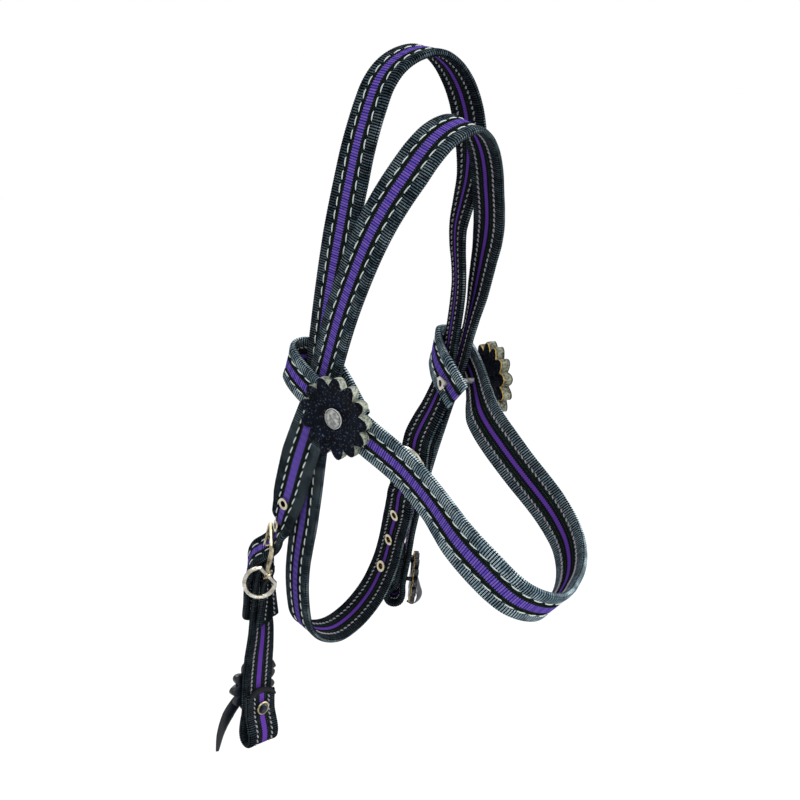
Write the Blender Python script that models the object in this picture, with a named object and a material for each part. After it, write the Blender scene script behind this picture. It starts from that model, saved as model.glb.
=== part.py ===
# A racing bridle of flat stitched webbing, hanging by its poll as if on a horse's head.
# Metres, +Z up. The origin is the inside of the headpiece at its highest point, the near
# (left) side of the horse is -X and the front of its head is -Y.
import math

import bmesh
import bpy
from mathutils import Matrix, Vector

# Webbing. Two layers of webbing lie a pitch apart.
FIT_GAP = 0.0003
WEB_WIDTH = 0.025
WEB_THICKNESS = 0.0042
WEB_EDGE_ROUND = 0.0012
LAYER_PITCH = WEB_THICKNESS + FIT_GAP
TIP_LENGTH = 0.009

# The strap routes below are written in shares of this length.
ROUTE_UNIT = 0.1
LONGEST_STEP = 0.016
TURN_STEP = math.radians(31)
TWIST_STEP = math.radians(10)

# Buckles. A buckle's window is the distance from its prong's bar to its end bar.
BAR_RADIUS = 0.0016
BAR_SIDES = 8
BUCKLE_WINDOW = 0.021
BUCKLE_SIDE_GAP = 0.0005
BUCKLE_CORNER = 0.004
ARCH_HEIGHT = 0.013
PRONG_RADIUS = 0.001
PRONG_SIDES = 8
PRONG_OVERRUN = 0.0025
PRONG_SLOT_WIDTH = 0.0032
PRONG_SLOT_REACH = 0.0055
BILLET_SLOT_WIDTH = 0.0036
BILLET_SLOT_LENGTH = 0.012
BILLET_SLACK = 0.0004
TWISTED_LAYER_SLACK = 0.0012
TAIL_SLACK = 0.0014
CUT_OVERRUN = 0.001
SAMPLE_MARGIN = 1.35

# Loops that hold the bit's rings
BIT_LOOP_RADIUS = 0.0056

# Eyelets
EYELET_FLANGE_RADIUS = 0.0041
EYELET_FLANGE_THICKNESS = 0.0006
EYELET_BARREL_RADIUS = 0.003
EYELET_BORE_RADIUS = 0.0023
HOLE_RADIUS = EYELET_BARREL_RADIUS + FIT_GAP
EYELET_SEGMENTS = 16

# Rosettes and the screws that hold them on the browband
ROSETTE_RADIUS = 0.025
ROSETTE_THICKNESS = 0.007
ROSETTE_PETALS = 13
ROSETTE_SCALLOP_SHARE = 0.24
PETAL_SEGMENTS = 6
ROSETTE_LIFT = 0.0009
SHANK_RADIUS = 0.002
SCREW_HEAD_RADIUS = 0.0062
SCREW_HEAD_THICKNESS = 0.0016
NUT_TUBE_RADIUS = 0.003
NUT_FLANGE_RADIUS = 0.0045
NUT_FLANGE_THICKNESS = 0.001
SCREW_SEGMENTS = 20
BIT_ROSETTE_RADIUS = 0.0195
BIT_ROSETTE_THICKNESS = 0.004
BIT_ROSETTE_PETALS = 13
BIT_ROSETTE_SCALLOP_SHARE = 0.26
BIT_PETAL_SEGMENTS = 4
FAR_BIT_ROSETTE_LIFT = 0.0036

# Studs that close the bit loops, and the leather ties behind them
STUD_POST_RADIUS = 0.0016
STUD_CAP_RADIUS = 0.00425
STUD_CAP_HEIGHT = 0.0022
STUD_BACK_RADIUS = 0.0032
STUD_BACK_THICKNESS = 0.0008
STUD_HOLE_RADIUS = STUD_POST_RADIUS + FIT_GAP
STUD_SEGMENTS = 16
TIE_WIDTH = 0.006
TIE_THICKNESS = 0.002

# Dee ring on the near buckle, and the small link that holds it
DEE_WIRE_RADIUS = 0.0014
DEE_ARC_RADIUS = 0.01
DEE_ARC_OFFSET = 0.007
LINK_RADIUS = 0.0032
LINK_WIRE_RADIUS = 0.0008

# Routes, as (place in shares of the route unit, direction of the strap's width).
# The headpiece runs from the near buckle over the poll and down the far cheek.
HEADPIECE_SHARES = (
    ((-0.56, 0.99, -2.50), (-0.15, -0.92, -0.37)),
    ((-0.56, 0.88, -2.25), (0.25, -0.89, -0.37)),
    ((-0.56, 0.77, -1.99), (0.35, -0.86, -0.36)),
    ((-0.55, 0.70, -1.83), (0.25, -0.88, -0.38)),
    ((-0.54, 0.63, -1.66), (0.04, -0.91, -0.40)),
    ((-0.535, 0.55, -1.48), (0.02, -0.92, -0.40)),
    ((-0.52, 0.32, -0.93), (0.05, -0.92, -0.40)),
    ((-0.43, 0.12, -0.46), (0.15, -0.90, -0.42)),
    ((-0.31, 0.03, -0.23), (0.20, -0.88, -0.42)),
    ((-0.14, -0.02, -0.04), (0.13, -0.92, -0.37)),
    ((0.06, -0.02, 0.02), (0.10, -0.95, -0.30)),
    ((0.26, 0.04, -0.10), (0.10, -0.96, -0.26)),
    ((0.40, 0.12, -0.35), (0.07, -0.96, -0.27)),
    ((0.48, 0.18, -0.57), (0.03, -0.96, -0.27)),
    ((0.53, 0.28, -0.88), (-0.25, -0.93, -0.29)),
    ((0.55, 0.40, -1.28), (-0.57, -0.77, -0.27)),
    ((0.55, 0.48, -1.53), (-0.57, -0.77, -0.27)),
    ((0.54, 0.58, -1.80), (-0.58, -0.77, -0.25)),
    ((0.52, 0.76, -2.34), (-0.62, -0.75, -0.22)),
    ((0.52, 0.91, -2.84), (-0.66, -0.72, -0.20)),
    ((0.514, 0.946, -3.04), (-0.66, -0.72, -0.20)),
    ((0.504, 0.967, -3.16), (-0.66, -0.72, -0.20)),
    ((0.497, 0.982, -3.25), (-0.66, -0.72, -0.20)),
)
# The throat strap runs up the far side from its buckle, over the poll, down the near side,
# under the throat and back up to the buckle.
THROAT_UP_SHARES = (
    ((0.32, 0.64, -2.05), (-0.05, -0.98, -0.17)),
    ((0.39, 0.575, -1.84), (-0.22, -0.96, -0.15)),
    ((0.465, 0.545, -1.66), (-0.30, -0.94, -0.10)),
    ((0.478, 0.53, -1.56), (-0.42, -0.90, -0.10)),
    ((0.487, 0.50, -1.38), (-0.52, -0.85, -0.10)),
    ((0.49, 0.44, -0.98), (-0.50, -0.86, -0.07)),
    ((0.47, 0.435, -0.62), (-0.42, -0.90, -0.08)),
    ((0.505, 0.385, -0.32), (-0.23, -0.97, -0.10)),
    ((0.46, 0.34, -0.02), (0.10, -0.99, -0.06)),
    ((0.32, 0.31, 0.26), (0.08, -0.99, -0.08)),
    ((0.09, 0.29, 0.41), (0.00, -0.99, -0.16)),
    ((-0.21, 0.31, 0.31), (0.01, -0.99, -0.16)),
    ((-0.35, 0.35, 0.02), (0.07, -0.98, -0.19)),
    ((-0.40, 0.41, -0.28), (0.14, -0.97, -0.20)),
    ((-0.43, 0.48, -0.60), (0.20, -0.96, -0.20)),
    ((-0.46, 0.535, -0.90), (0.10, -0.97, -0.20)),
    ((-0.48, 0.585, -1.18), (0.03, -0.98, -0.20)),
    ((-0.488, 0.63, -1.42), (0.02, -0.98, -0.20)),
    ((-0.488, 0.675, -1.63), (0.03, -0.98, -0.20)),
    ((-0.48, 0.73, -1.87), (0.18, -0.96, -0.20)),
    ((-0.475, 0.79, -2.14), (0.15, -0.97, -0.20)),
    ((-0.475, 0.85, -2.46), (0.02, -0.98, -0.20)),
    ((-0.485, 0.92, -2.77), (-0.05, -0.98, -0.20)),
    ((-0.46, 0.98, -3.08), (-0.02, -0.98, -0.19)),
    ((-0.35, 1.04, -3.38), (0.02, -0.98, -0.19)),
    ((-0.11, 1.06, -3.50), (-0.03, -0.96, -0.25)),
    ((0.16, 1.01, -3.34), (-0.05, -0.97, -0.24)),
    ((0.28, 0.93, -3.05), (-0.06, -0.97, -0.24)),
    ((0.29, 0.85, -2.77), (-0.06, -0.97, -0.24)),
)
# The browband's front runs from the near knot to the far one. Each end passes outside the
# legs, turns round behind them and comes forward again inside them.
NEAR_TAIL_SHARES = (
    ((-0.455, 0.29, -1.68), (0.00, -0.68, 0.73)),
    ((-0.447, 0.40, -1.58), (0.00, -0.62, 0.78)),
    ((-0.441, 0.55, -1.45), (0.00, -0.50, 0.87)),
)
NEAR_WRAP_SHARES = (-0.518, 0.763, -1.388)
NEAR_WRAP_AXIS = (0.0, -0.40, 0.92)
NEAR_WRAP_REAR = (0.0, 0.92, 0.40)
BROWBAND_SHARES = (
    ((-0.594, 0.60, -1.505), (0.00, -0.42, 0.90)),
    ((-0.583, 0.45, -1.58), (0.02, -0.44, 0.89)),
    ((-0.545, 0.32, -1.64), (0.05, -0.46, 0.88)),
    ((-0.50, 0.13, -1.74), (0.07, -0.48, 0.87)),
    ((-0.45, -0.07, -1.85), (0.04, -0.49, 0.87)),
    ((-0.44, -0.34, -2.01), (0.09, -0.49, 0.86)),
    ((-0.47, -0.54, -2.12), (0.25, -0.50, 0.82)),
    ((-0.45, -0.73, -2.24), (0.34, -0.50, 0.80)),
    ((-0.35, -0.88, -2.39), (0.27, -0.56, 0.79)),
    ((-0.15, -0.94, -2.49), (0.23, -0.61, 0.76)),
    ((0.06, -0.87, -2.50), (0.24, -0.63, 0.74)),
    ((0.26, -0.76, -2.47), (0.23, -0.62, 0.74)),
    ((0.41, -0.60, -2.38), (0.25, -0.62, 0.74)),
    ((0.45, -0.42, -2.24), (0.38, -0.61, 0.70)),
    ((0.40, -0.26, -2.07), (0.46, -0.57, 0.68)),
    ((0.36, -0.08, -1.89), (0.52, -0.53, 0.66)),
    ((0.40, 0.12, -1.75), (0.45, -0.53, 0.72)),
    ((0.505, 0.27, -1.64), (0.15, -0.48, 0.86)),
    ((0.575, 0.37, -1.58), (0.00, -0.45, 0.89)),
)
FAR_WRAP_SHARES = (0.588, 0.612, -1.459)
FAR_WRAP_AXIS = (-0.05, -0.30, 0.95)
FAR_WRAP_REAR = (0.57, 0.78, 0.27)
FAR_TAIL_SHARES = (
    ((0.428, 0.565, -1.49), (0.00, -0.40, 0.92)),
    ((0.358, 0.43, -1.55), (0.00, -0.55, 0.83)),
    ((0.35, 0.36, -1.61), (0.00, -0.62, 0.78)),
    ((0.345, 0.285, -1.68), (0.00, -0.70, 0.71)),
)
WRAP_RISE = 0.004
NEAR_WRAP_RADIUS = 0.00765
FAR_WRAP_RADIUS = 0.0102
# The near bit hanger, from under its buckle down to the loop for the bit's ring
HANGER_SHARES = (
    ((-0.63, 1.198, -2.94), (-0.62, -0.72, -0.28)),
    ((-0.61, 1.22, -3.12), (-0.80, -0.57, -0.15)),
    ((-0.605, 1.23, -3.21), (-0.87, -0.47, -0.08)),
    ((-0.60, 1.24, -3.40), (-0.96, -0.26, 0.04)),
    ((-0.61, 1.26, -3.58), (-0.99, -0.10, 0.08)),
    ((-0.62, 1.28, -3.76), (-1.00, -0.05, 0.08)),
    ((-0.63, 1.285, -3.88), (-1.00, -0.06, 0.08)),
    ((-0.645, 1.275, -4.02), (-0.99, -0.05, 0.05)),
)
CHAPE_LENGTH = 0.028
CHEEK_TAIL_LENGTH = 0.036
THROAT_TAIL_LENGTH = 0.026
HANGER_FOLD_STATIONS = 2
HANGER_LOOP_SHARES = (-0.66, 1.235, -4.20)
HANGER_LOOP_DOWN = (-0.08, -0.10, -0.99)
HANGER_LOOP_WIDTH = (-1.0, -0.03, 0.03)
FAR_LOOP_SHARES = (0.451, 1.031, -3.37)
FAR_LOOP_DOWN = (-0.08, 0.18, -0.98)
FAR_LOOP_WIDTH = (-0.66, -0.72, -0.20)
FAR_FOLD_STATIONS = 3

# The billet's way through a buckle: shares of the window along, and of the rise from the
# side that the end bar presses on to the side that lies over the prong's bar
BILLET_PATH_SHARES = (
    (1.29, 0.0), (1.05, 0.0), (0.87, 0.07), (0.50, 0.52), (0.21, 0.91), (0.0, 1.0), (-0.29, 0.99),
)

# Places of the hardware
CHEEK_BUCKLE_SHARES = (-0.6045, 1.137, -2.82)
CHEEK_BUCKLE_UP = (0.03, -0.36, 0.93)
CHEEK_BUCKLE_WIDTH = (-0.53, -0.79, -0.31)
THROAT_BUCKLE_SHARES = (0.2725, 0.672, -2.247)
THROAT_BUCKLE_DOWN = (0.0, 0.17, -0.98)
THROAT_BUCKLE_WIDTH = (0.0, -0.985, -0.17)
CHEEK_EYELET_SHARES = (-2.35, -2.54)
THROAT_EYELET_SHARES = (-2.61, -2.85, -3.08)
NEAR_ROSETTE_SHARES = (-0.577, 0.32, -1.61)
NEAR_ROSETTE_OUT = (-0.975, -0.218, -0.026)
FAR_ROSETTE_SHARES = (0.606, 0.298, -1.61)
FAR_ROSETTE_OUT = (0.94, -0.34, -0.03)
NEAR_BIT_ROSETTE_SHARE = -3.86
NEAR_STUD_SHARE = -3.99
FAR_BIT_ROSETTE_SHARE = -3.25
FAR_STUD_SHARE = -3.27
LINK_HEIGHT = 0.006
DEE_BAR = (0.49, -0.41, -0.77)
DEE_REACH = (-0.69, 0.35, -0.631)
NEAR_TIE_SHARES = (
    ((-0.41, 1.375, -3.80), (-0.34, 0.05, 0.94)),
    ((-0.52, 1.38, -3.84), (-0.40, 0.05, 0.92)),
    ((-0.65, 1.38, -3.92), (-0.55, 0.05, 0.83)),
    ((-0.80, 1.375, -4.03), (-0.75, 0.05, 0.66)),
    ((-0.89, 1.37, -4.17), (-0.90, 0.05, 0.43)),
    ((-0.93, 1.365, -4.30), (-0.95, 0.05, 0.30)),
)
FAR_TIE_SHARES = (
    ((0.731, 1.041, -3.076), (-0.20, -0.30, 0.93)),
    ((0.651, 0.951, -3.136), (-0.25, -0.32, 0.91)),
    ((0.566, 0.866, -3.216), (-0.35, -0.42, 0.84)),
    ((0.511, 0.796, -3.326), (-0.55, -0.66, 0.50)),
    ((0.491, 0.771, -3.426), (-0.62, -0.75, 0.25)),
)


def at(shares):
    return Vector(shares) * ROUTE_UNIT


def stations(table):
    return [(at(place), Vector(width).normalized()) for place, width in table]


def placed(origin, along, width):
    """A place whose X is a strap's width, Y runs along and Z points out of its face."""
    y = Vector(along).normalized()
    x = Vector(width)
    x = (x - x.project(y)).normalized()
    place = Matrix((x, y, x.cross(y))).transposed().to_4x4()
    place.translation = origin
    return place


def facing(origin, out, up):
    """A place whose Z is `out` and whose Y is as near to `up` as it can be."""
    z = Vector(out).normalized()
    y = Vector(up)
    y = (y - y.project(z)).normalized()
    place = Matrix((y.cross(z), y, z)).transposed().to_4x4()
    place.translation = origin
    return place


def in_place(place, along, out):
    return place @ Vector((0, along, out)), place.col[0].to_3d()


def loop_round(place, radius, side):
    """Half a turn round the place's X axis, from its -Z side by its +Y side to +Z."""
    turn = []
    for step in range(7):
        angle = math.pi * step / 6
        turn.append(in_place(place, radius * math.sin(angle), -side * radius * math.cos(angle)))
    return turn


def wrap_round(place, radius, rise):
    """A loop that comes down along its axis by `rise`."""
    turn = loop_round(place, radius, 1)
    last = len(turn) - 1
    climb = place.col[0].to_3d() * rise
    return [(point + climb * (0.5 - step / last), width)
            for step, (point, width) in enumerate(turn)]


def slope_at(points, index):
    """The direction of a smooth curve at one of its points."""
    if index == 0:
        return points[1] - points[0]
    if index == len(points) - 1:
        return points[-1] - points[-2]
    before = points[index] - points[index - 1]
    after = points[index + 1] - points[index]
    return before * (after.length / before.length) + after * (before.length / after.length)


def smoothed(guide):
    """Stations closely enough spaced for the curve's bends and twists."""
    points = [point for point, _ in guide]
    slopes = [slope_at(points, index).normalized() for index in range(len(points))]
    curve = []
    for index in range(len(guide) - 1):
        start, end = points[index], points[index + 1]
        chord = (end - start).length
        turn = slopes[index].angle(slopes[index + 1])
        twist = guide[index][1].angle(guide[index + 1][1])
        steps = math.ceil(max(turn / TURN_STEP, twist / TWIST_STEP, chord / LONGEST_STEP))
        for step in range(steps):
            u = step / steps
            point = (start * (2 * u ** 3 - 3 * u ** 2 + 1)
                     + slopes[index] * chord * (u ** 3 - 2 * u ** 2 + u)
                     + end * (3 * u ** 2 - 2 * u ** 3)
                     + slopes[index + 1] * chord * (u ** 3 - u ** 2))
            blend = 3 * u ** 2 - 2 * u ** 3
            curve.append((point, guide[index][1].lerp(guide[index + 1][1], blend)))
    curve.append(guide[-1])
    return curve


def framed(curve):
    """Each station with its width and its normal square to the run of the strap."""
    points = [point for point, _ in curve]
    rows = []
    for index, (point, width) in enumerate(curve):
        run = slope_at(points, index).normalized()
        across = (width - width.project(run)).normalized()
        rows.append((point, across, across.cross(run), run))
    return rows


def laid_on(guide, lift):
    """The same run of strap, lifted off along its normal."""
    return [(point + normal * lift, width) for (point, width, normal, _) in framed(guide)]


def lengths_along(rows):
    total = [0.0]
    for before, after in zip(rows, rows[1:]):
        total.append(total[-1] + (after[0] - before[0]).length)
    return total


def with_round_tip(curve, at_start):
    """Close stations at a strap's end, where its width runs out in a half round."""
    ordered = curve if at_start else list(reversed(curve))
    tip, width = ordered[0]
    inward = (ordered[1][0] - tip).normalized()
    close = [(tip + inward * TIP_LENGTH * share, width) for share in (0.0, 0.08, 0.3, 0.62)]
    kept = [station for station in ordered[1:] if (station[0] - tip).length > TIP_LENGTH]
    ordered = close + [(tip + inward * TIP_LENGTH, width)] + kept
    return ordered if at_start else list(reversed(ordered))


def tip_width_share(distance):
    """How much of the strap's width is left this far from a rounded end."""
    if distance >= TIP_LENGTH:
        return 1.0
    reach = 1 - distance / TIP_LENGTH
    return max(0.45, math.sqrt(1 - 0.8 * reach ** 2))


def web_outline():
    half, top = WEB_WIDTH / 2, WEB_THICKNESS / 2
    side = top - WEB_EDGE_ROUND
    return [
        (half - WEB_EDGE_ROUND, top), (0, top), (WEB_EDGE_ROUND - half, top), (-half, side),
        (-half, -side), (WEB_EDGE_ROUND - half, -top), (0, -top), (half - WEB_EDGE_ROUND, -top),
        (half, -side), (half, side),
    ]


def flat_outline(width, thickness):
    return [(width / 2, thickness / 2), (-width / 2, thickness / 2),
            (-width / 2, -thickness / 2), (width / 2, -thickness / 2)]


def ring_at(row, outline, width_share):
    point, across, normal, _ = row
    return [point + across * x * width_share + normal * y for x, y in outline]


def add_object(name, mesh_data, place, material, sharp=40):
    mesh = bpy.data.meshes.new(name)
    mesh_data.to_mesh(mesh)
    mesh_data.free()
    mesh.shade_smooth()
    mesh.set_sharp_from_angle(angle=math.radians(sharp))
    mesh.materials.append(material)
    piece = bpy.data.objects.new(name, mesh)
    piece.matrix_world = place
    bpy.context.scene.collection.objects.link(piece)
    return piece


def skin(rings, closed):
    """A solid through a row of outlines with equal numbers of points."""
    data = bmesh.new()
    rows = [[data.verts.new(point) for point in ring] for ring in rings]
    pairs = list(zip(rows, rows[1:]))
    if closed:
        pairs.append((rows[-1], rows[0]))
    for before, after in pairs:
        for index in range(len(before)):
            follow = (index + 1) % len(before)
            data.faces.new((before[index], before[follow], after[follow]))
            data.faces.new((before[index], after[follow], after[index]))
    if not closed:
        data.faces.new(rows[0])
        data.faces.new(rows[-1])
    bmesh.ops.recalc_face_normals(data, faces=data.faces)
    return data


def sweep(name, rings, material, closed=False):
    """A swept solid whose origin is the first point of its first outline."""
    origin = rings[0][0].copy()
    local = [[point - origin for point in ring] for ring in rings]
    return add_object(name, skin(local, closed), Matrix.Translation(origin), material)


def strap(name, curve, round_ends):
    """A strap of webbing; each end is square or drawn in to a half round."""
    rows = framed(curve)
    along = lengths_along(rows)
    rings = []
    for row, distance in zip(rows, along):
        share = 1.0
        if round_ends[0]:
            share = min(share, tip_width_share(distance))
        if round_ends[1]:
            share = min(share, tip_width_share(along[-1] - distance))
        rings.append(ring_at(row, web_outline(), share))
    return rows, [sweep(name, rings, webbing(name))]


def circle_points(radius, sides):
    return [(radius * math.cos(2 * math.pi * step / sides), radius * math.sin(2 * math.pi * step / sides))
            for step in range(sides)]


def rod_data(points, radius, sides, flat_normal, closed):
    """A round rod along points that lie in one plane."""
    rings = []
    last = len(points) - 1
    section = circle_points(radius, sides)
    for index, point in enumerate(points):
        before = points[index - 1] if index > 0 or closed else point
        after = points[(index + 1) % len(points)] if index < last or closed else point
        run = (after - before).normalized()
        across = run.cross(flat_normal)
        rings.append([point + across * x + flat_normal * y for x, y in section])
    return skin(rings, closed)


def turned(outline, segments, shape=None):
    """A turned solid about Z from a closed outline of (radius, height) points."""
    data = bmesh.new()
    columns = []
    for step in range(segments):
        angle = 2 * math.pi * step / segments
        column = []
        for radius, height in outline:
            reach = shape(radius, angle) if shape else radius
            column.append((reach * math.cos(angle), reach * math.sin(angle), height))
        columns.append(column)
    rows = []
    for index, (radius, height) in enumerate(outline):
        if radius == 0:
            rows.append([data.verts.new((0, 0, height))] * segments)
        else:
            rows.append([data.verts.new(column[index]) for column in columns])
    closed = all(radius > 0 for radius, _ in outline)
    pairs = list(zip(rows, rows[1:])) + ([(rows[-1], rows[0])] if closed else [])
    for upper, lower in pairs:
        for step in range(segments):
            follow = (step + 1) % segments
            corners = [upper[step], upper[follow], lower[follow], lower[step]]
            unique = list(dict.fromkeys(corners))
            if len(unique) > 2:
                data.faces.new(unique)
    if shape:
        bmesh.ops.triangulate(data, faces=data.faces)
    bmesh.ops.recalc_face_normals(data, faces=data.faces)
    return data


def material(name, colour, roughness, metallic):
    made = bpy.data.materials.new(name)
    made.use_nodes = True
    surface = made.node_tree.nodes["Principled BSDF"]
    surface.inputs["Base Color"].default_value = (*colour, 1.0)
    surface.inputs["Roughness"].default_value = roughness
    surface.inputs["Metallic"].default_value = metallic
    made.diffuse_color = (*colour, 1.0)
    return made


def webbing(name):
    return material(name, (0.02, 0.02, 0.025), 0.8, 0.0)


def nickel(name):
    return material(name, (0.62, 0.6, 0.56), 0.25, 1.0)


def brass(name):
    return material(name, (0.75, 0.58, 0.3), 0.3, 1.0)


def hide(name):
    return material(name, (0.62, 0.57, 0.42), 0.75, 0.0)


def thong(name):
    return material(name, (0.05, 0.035, 0.03), 0.6, 0.0)


def add_cutter(name, data, place):
    cutter = add_object(name, data, place, material(name, (1.0, 0.0, 0.0), 0.5, 0.0))
    cutter.hide_render = True
    cutter.display_type = "WIRE"
    return cutter


def cut(pieces, cutter):
    for piece in pieces:
        tool = piece.modifiers.new(cutter.name, "BOOLEAN")
        tool.operation = "DIFFERENCE"
        tool.solver = "EXACT"
        tool.object = cutter


def block(width, low_along, high_along, half_height):
    data = bmesh.new()
    bmesh.ops.create_cube(data, size=1.0)
    for corner in data.verts:
        corner.co.x *= width
        corner.co.y = high_along if corner.co.y > 0 else low_along
        corner.co.z *= 2 * half_height
    return data


def round_cutter(name, place, radius, half_height, segments):
    outline = [(0, half_height), (radius, half_height), (radius, -half_height), (0, -half_height)]
    return add_cutter(name, turned(outline, segments), place)


def row_at_height(rows, height_share, first, last):
    """The strap's row nearest to a height, between two shares of its length."""
    span = rows[int(len(rows) * first):int(len(rows) * last)]
    height = ROUTE_UNIT * height_share
    after = next(index for index in range(1, len(span))
                 if (span[index - 1][0].z - height) * (span[index][0].z - height) <= 0)
    low, high = span[after - 1], span[after]
    blend = (height - low[0].z) / (high[0].z - low[0].z)
    return tuple(a.lerp(b, blend) for a, b in zip(low, high))


def on_row(row):
    point, across, normal, run = row
    return facing(point, normal, run)


def eyelet(name, place, face):
    top = face + EYELET_FLANGE_THICKNESS
    outline = [
        (EYELET_BORE_RADIUS, top), (EYELET_FLANGE_RADIUS, top), (EYELET_FLANGE_RADIUS, face),
        (EYELET_BARREL_RADIUS, face), (EYELET_BARREL_RADIUS, -face),
        (EYELET_FLANGE_RADIUS, -face), (EYELET_FLANGE_RADIUS, -top), (EYELET_BORE_RADIUS, -top),
    ]
    add_object(name, turned(outline, EYELET_SEGMENTS), place, nickel(name))


def scalloped(radius, petals, share):
    """A turned edge drawn in between the petals, more so towards the rim."""
    def shape(reach, angle):
        dip = 1 - abs(math.cos(petals * angle / 2))
        return reach * (1 - share * dip * (reach / radius) ** 3)
    return shape


def rosette(name, place, radius, thickness, petals, hole):
    outline = [
        (hole, thickness * 0.72), (radius * 0.36, thickness * 0.66), (radius * 0.62, thickness * 0.82),
        (radius * 0.86, thickness * 0.98), (radius * 0.96, thickness), (radius, thickness * 0.9),
        (radius, thickness * 0.14), (radius * 0.96, 0), (hole, 0),
    ]
    shape = scalloped(radius, petals, ROSETTE_SCALLOP_SHARE)
    add_object(name, turned(outline, petals * PETAL_SEGMENTS, shape), place, hide(name))


def rosette_screw(name, place, base, length):
    """A screw whose head seats in the rosette and whose shank runs inwards."""
    head = base + FIT_GAP
    outline = [
        (0, head + SCREW_HEAD_THICKNESS), (SCREW_HEAD_RADIUS * 0.7, head + SCREW_HEAD_THICKNESS),
        (SCREW_HEAD_RADIUS, head + SCREW_HEAD_THICKNESS * 0.45), (SCREW_HEAD_RADIUS, head),
        (SHANK_RADIUS, head), (SHANK_RADIUS, -length), (0, -length),
    ]
    add_object(name, turned(outline, SCREW_SEGMENTS), place, nickel(name))


def rosette_nut(name, place, seat, tube_length):
    """A tube nut that comes through the browband's tail from behind."""
    bore = SHANK_RADIUS + FIT_GAP
    outline = [
        (bore, seat + tube_length), (NUT_TUBE_RADIUS, seat + tube_length), (NUT_TUBE_RADIUS, seat),
        (NUT_FLANGE_RADIUS, seat), (NUT_FLANGE_RADIUS, seat - NUT_FLANGE_THICKNESS),
        (bore, seat - NUT_FLANGE_THICKNESS),
    ]
    add_object(name, turned(outline, SCREW_SEGMENTS), place, nickel(name))


def stud(name, place, low, high):
    """A cap on one side of the layers and a flat head on the other, joined by a post."""
    outline = [
        (0, high + STUD_CAP_HEIGHT), (STUD_CAP_RADIUS * 0.55, high + STUD_CAP_HEIGHT * 0.85),
        (STUD_CAP_RADIUS * 0.9, high + STUD_CAP_HEIGHT * 0.45), (STUD_CAP_RADIUS, high),
        (STUD_POST_RADIUS, high), (STUD_POST_RADIUS, low), (STUD_BACK_RADIUS, low),
        (STUD_BACK_RADIUS, low - STUD_BACK_THICKNESS), (0, low - STUD_BACK_THICKNESS),
    ]
    add_object(name, turned(outline, STUD_SEGMENTS), place, nickel(name))


def arc_points(centre, radius, start, end, steps):
    """Points of an arc in the XY plane, angles in degrees from +X."""
    points = []
    for step in range(steps + 1):
        angle = math.radians(start + (end - start) * step / steps)
        points.append(Vector((centre[0] + radius * math.cos(angle), centre[1] + radius * math.sin(angle), 0)))
    return points


def frame_half_width():
    return WEB_WIDTH / 2 + BUCKLE_SIDE_GAP + BAR_RADIUS


def rounded_frame(low, high, low_corner, high_corner):
    """The centre line of a frame between two heights, with its four corners rounded."""
    half = frame_half_width()
    corners = (
        ((half - high_corner, high - high_corner), high_corner, 0),
        ((high_corner - half, high - high_corner), high_corner, 90),
        ((low_corner - half, low + low_corner), low_corner, 180),
        ((half - low_corner, low + low_corner), low_corner, 270),
    )
    points = []
    for centre, radius, start in corners:
        points += arc_points(centre, radius, start, start + 90, 4)
    return points


def prong(name, place, metal):
    """A prong hooked round its bar that rests on the end bar."""
    lift = BAR_RADIUS + FIT_GAP + PRONG_RADIUS
    hook = []
    for step in range(7):
        angle = math.radians(-60 - 30 * step)
        hook.append(Vector((0, lift * math.cos(angle), lift * math.sin(angle))))
    shaft = [Vector((0, 0, lift)), Vector((0, BUCKLE_WINDOW + PRONG_OVERRUN, lift))]
    points = hook + shaft
    data = rod_data(points, PRONG_RADIUS, PRONG_SIDES, Vector((1, 0, 0)), False)
    add_object(name, data, place, metal(name))


def buckle_places():
    cheek = placed(at(CHEEK_BUCKLE_SHARES), CHEEK_BUCKLE_UP, CHEEK_BUCKLE_WIDTH)
    throat = placed(at(THROAT_BUCKLE_SHARES), THROAT_BUCKLE_DOWN, THROAT_BUCKLE_WIDTH)
    return cheek, throat


def loop_radius():
    """A strap's centre line round a bar."""
    return BAR_RADIUS + FIT_GAP + WEB_THICKNESS / 2


def billet_path(place):
    under = -loop_radius() - FIT_GAP
    over = loop_radius() + LAYER_PITCH + BILLET_SLACK
    return [in_place(place, along * BUCKLE_WINDOW, under + (over - under) * rise)
            for along, rise in BILLET_PATH_SHARES]


def station_index(curve, station):
    return next(index for index, (point, _) in enumerate(curve) if point == station[0])


def doubled(curve, start, length, lift):
    """The stretch of a second layer that lies on a strap from one of its stations on."""
    layer = laid_on(curve, lift)[station_index(curve, start):]
    run = 0.0
    for count in range(1, len(layer)):
        run += (layer[count][0] - layer[count - 1][0]).length
        if run >= length:
            return layer[:count + 1]
    return layer


def hanger_curve(cheek):
    main = stations(HANGER_SHARES)
    bottom = placed(at(HANGER_LOOP_SHARES), HANGER_LOOP_DOWN, HANGER_LOOP_WIDTH)
    bottom_loop = loop_round(bottom, BIT_LOOP_RADIUS, 1)
    line = smoothed(loop_round(cheek, loop_radius(), 1) + main + bottom_loop)
    chape = doubled(line, main[0], CHAPE_LENGTH, LAYER_PITCH + TWISTED_LAYER_SLACK)
    fold = laid_on(line, LAYER_PITCH)
    fold = fold[station_index(line, main[-HANGER_FOLD_STATIONS]):station_index(line, main[-1]) + 1]
    tail = doubled(line, main[0], CHEEK_TAIL_LENGTH, -LAYER_PITCH - TAIL_SLACK)
    return list(reversed(chape)) + line + list(reversed(fold)), tail


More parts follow.
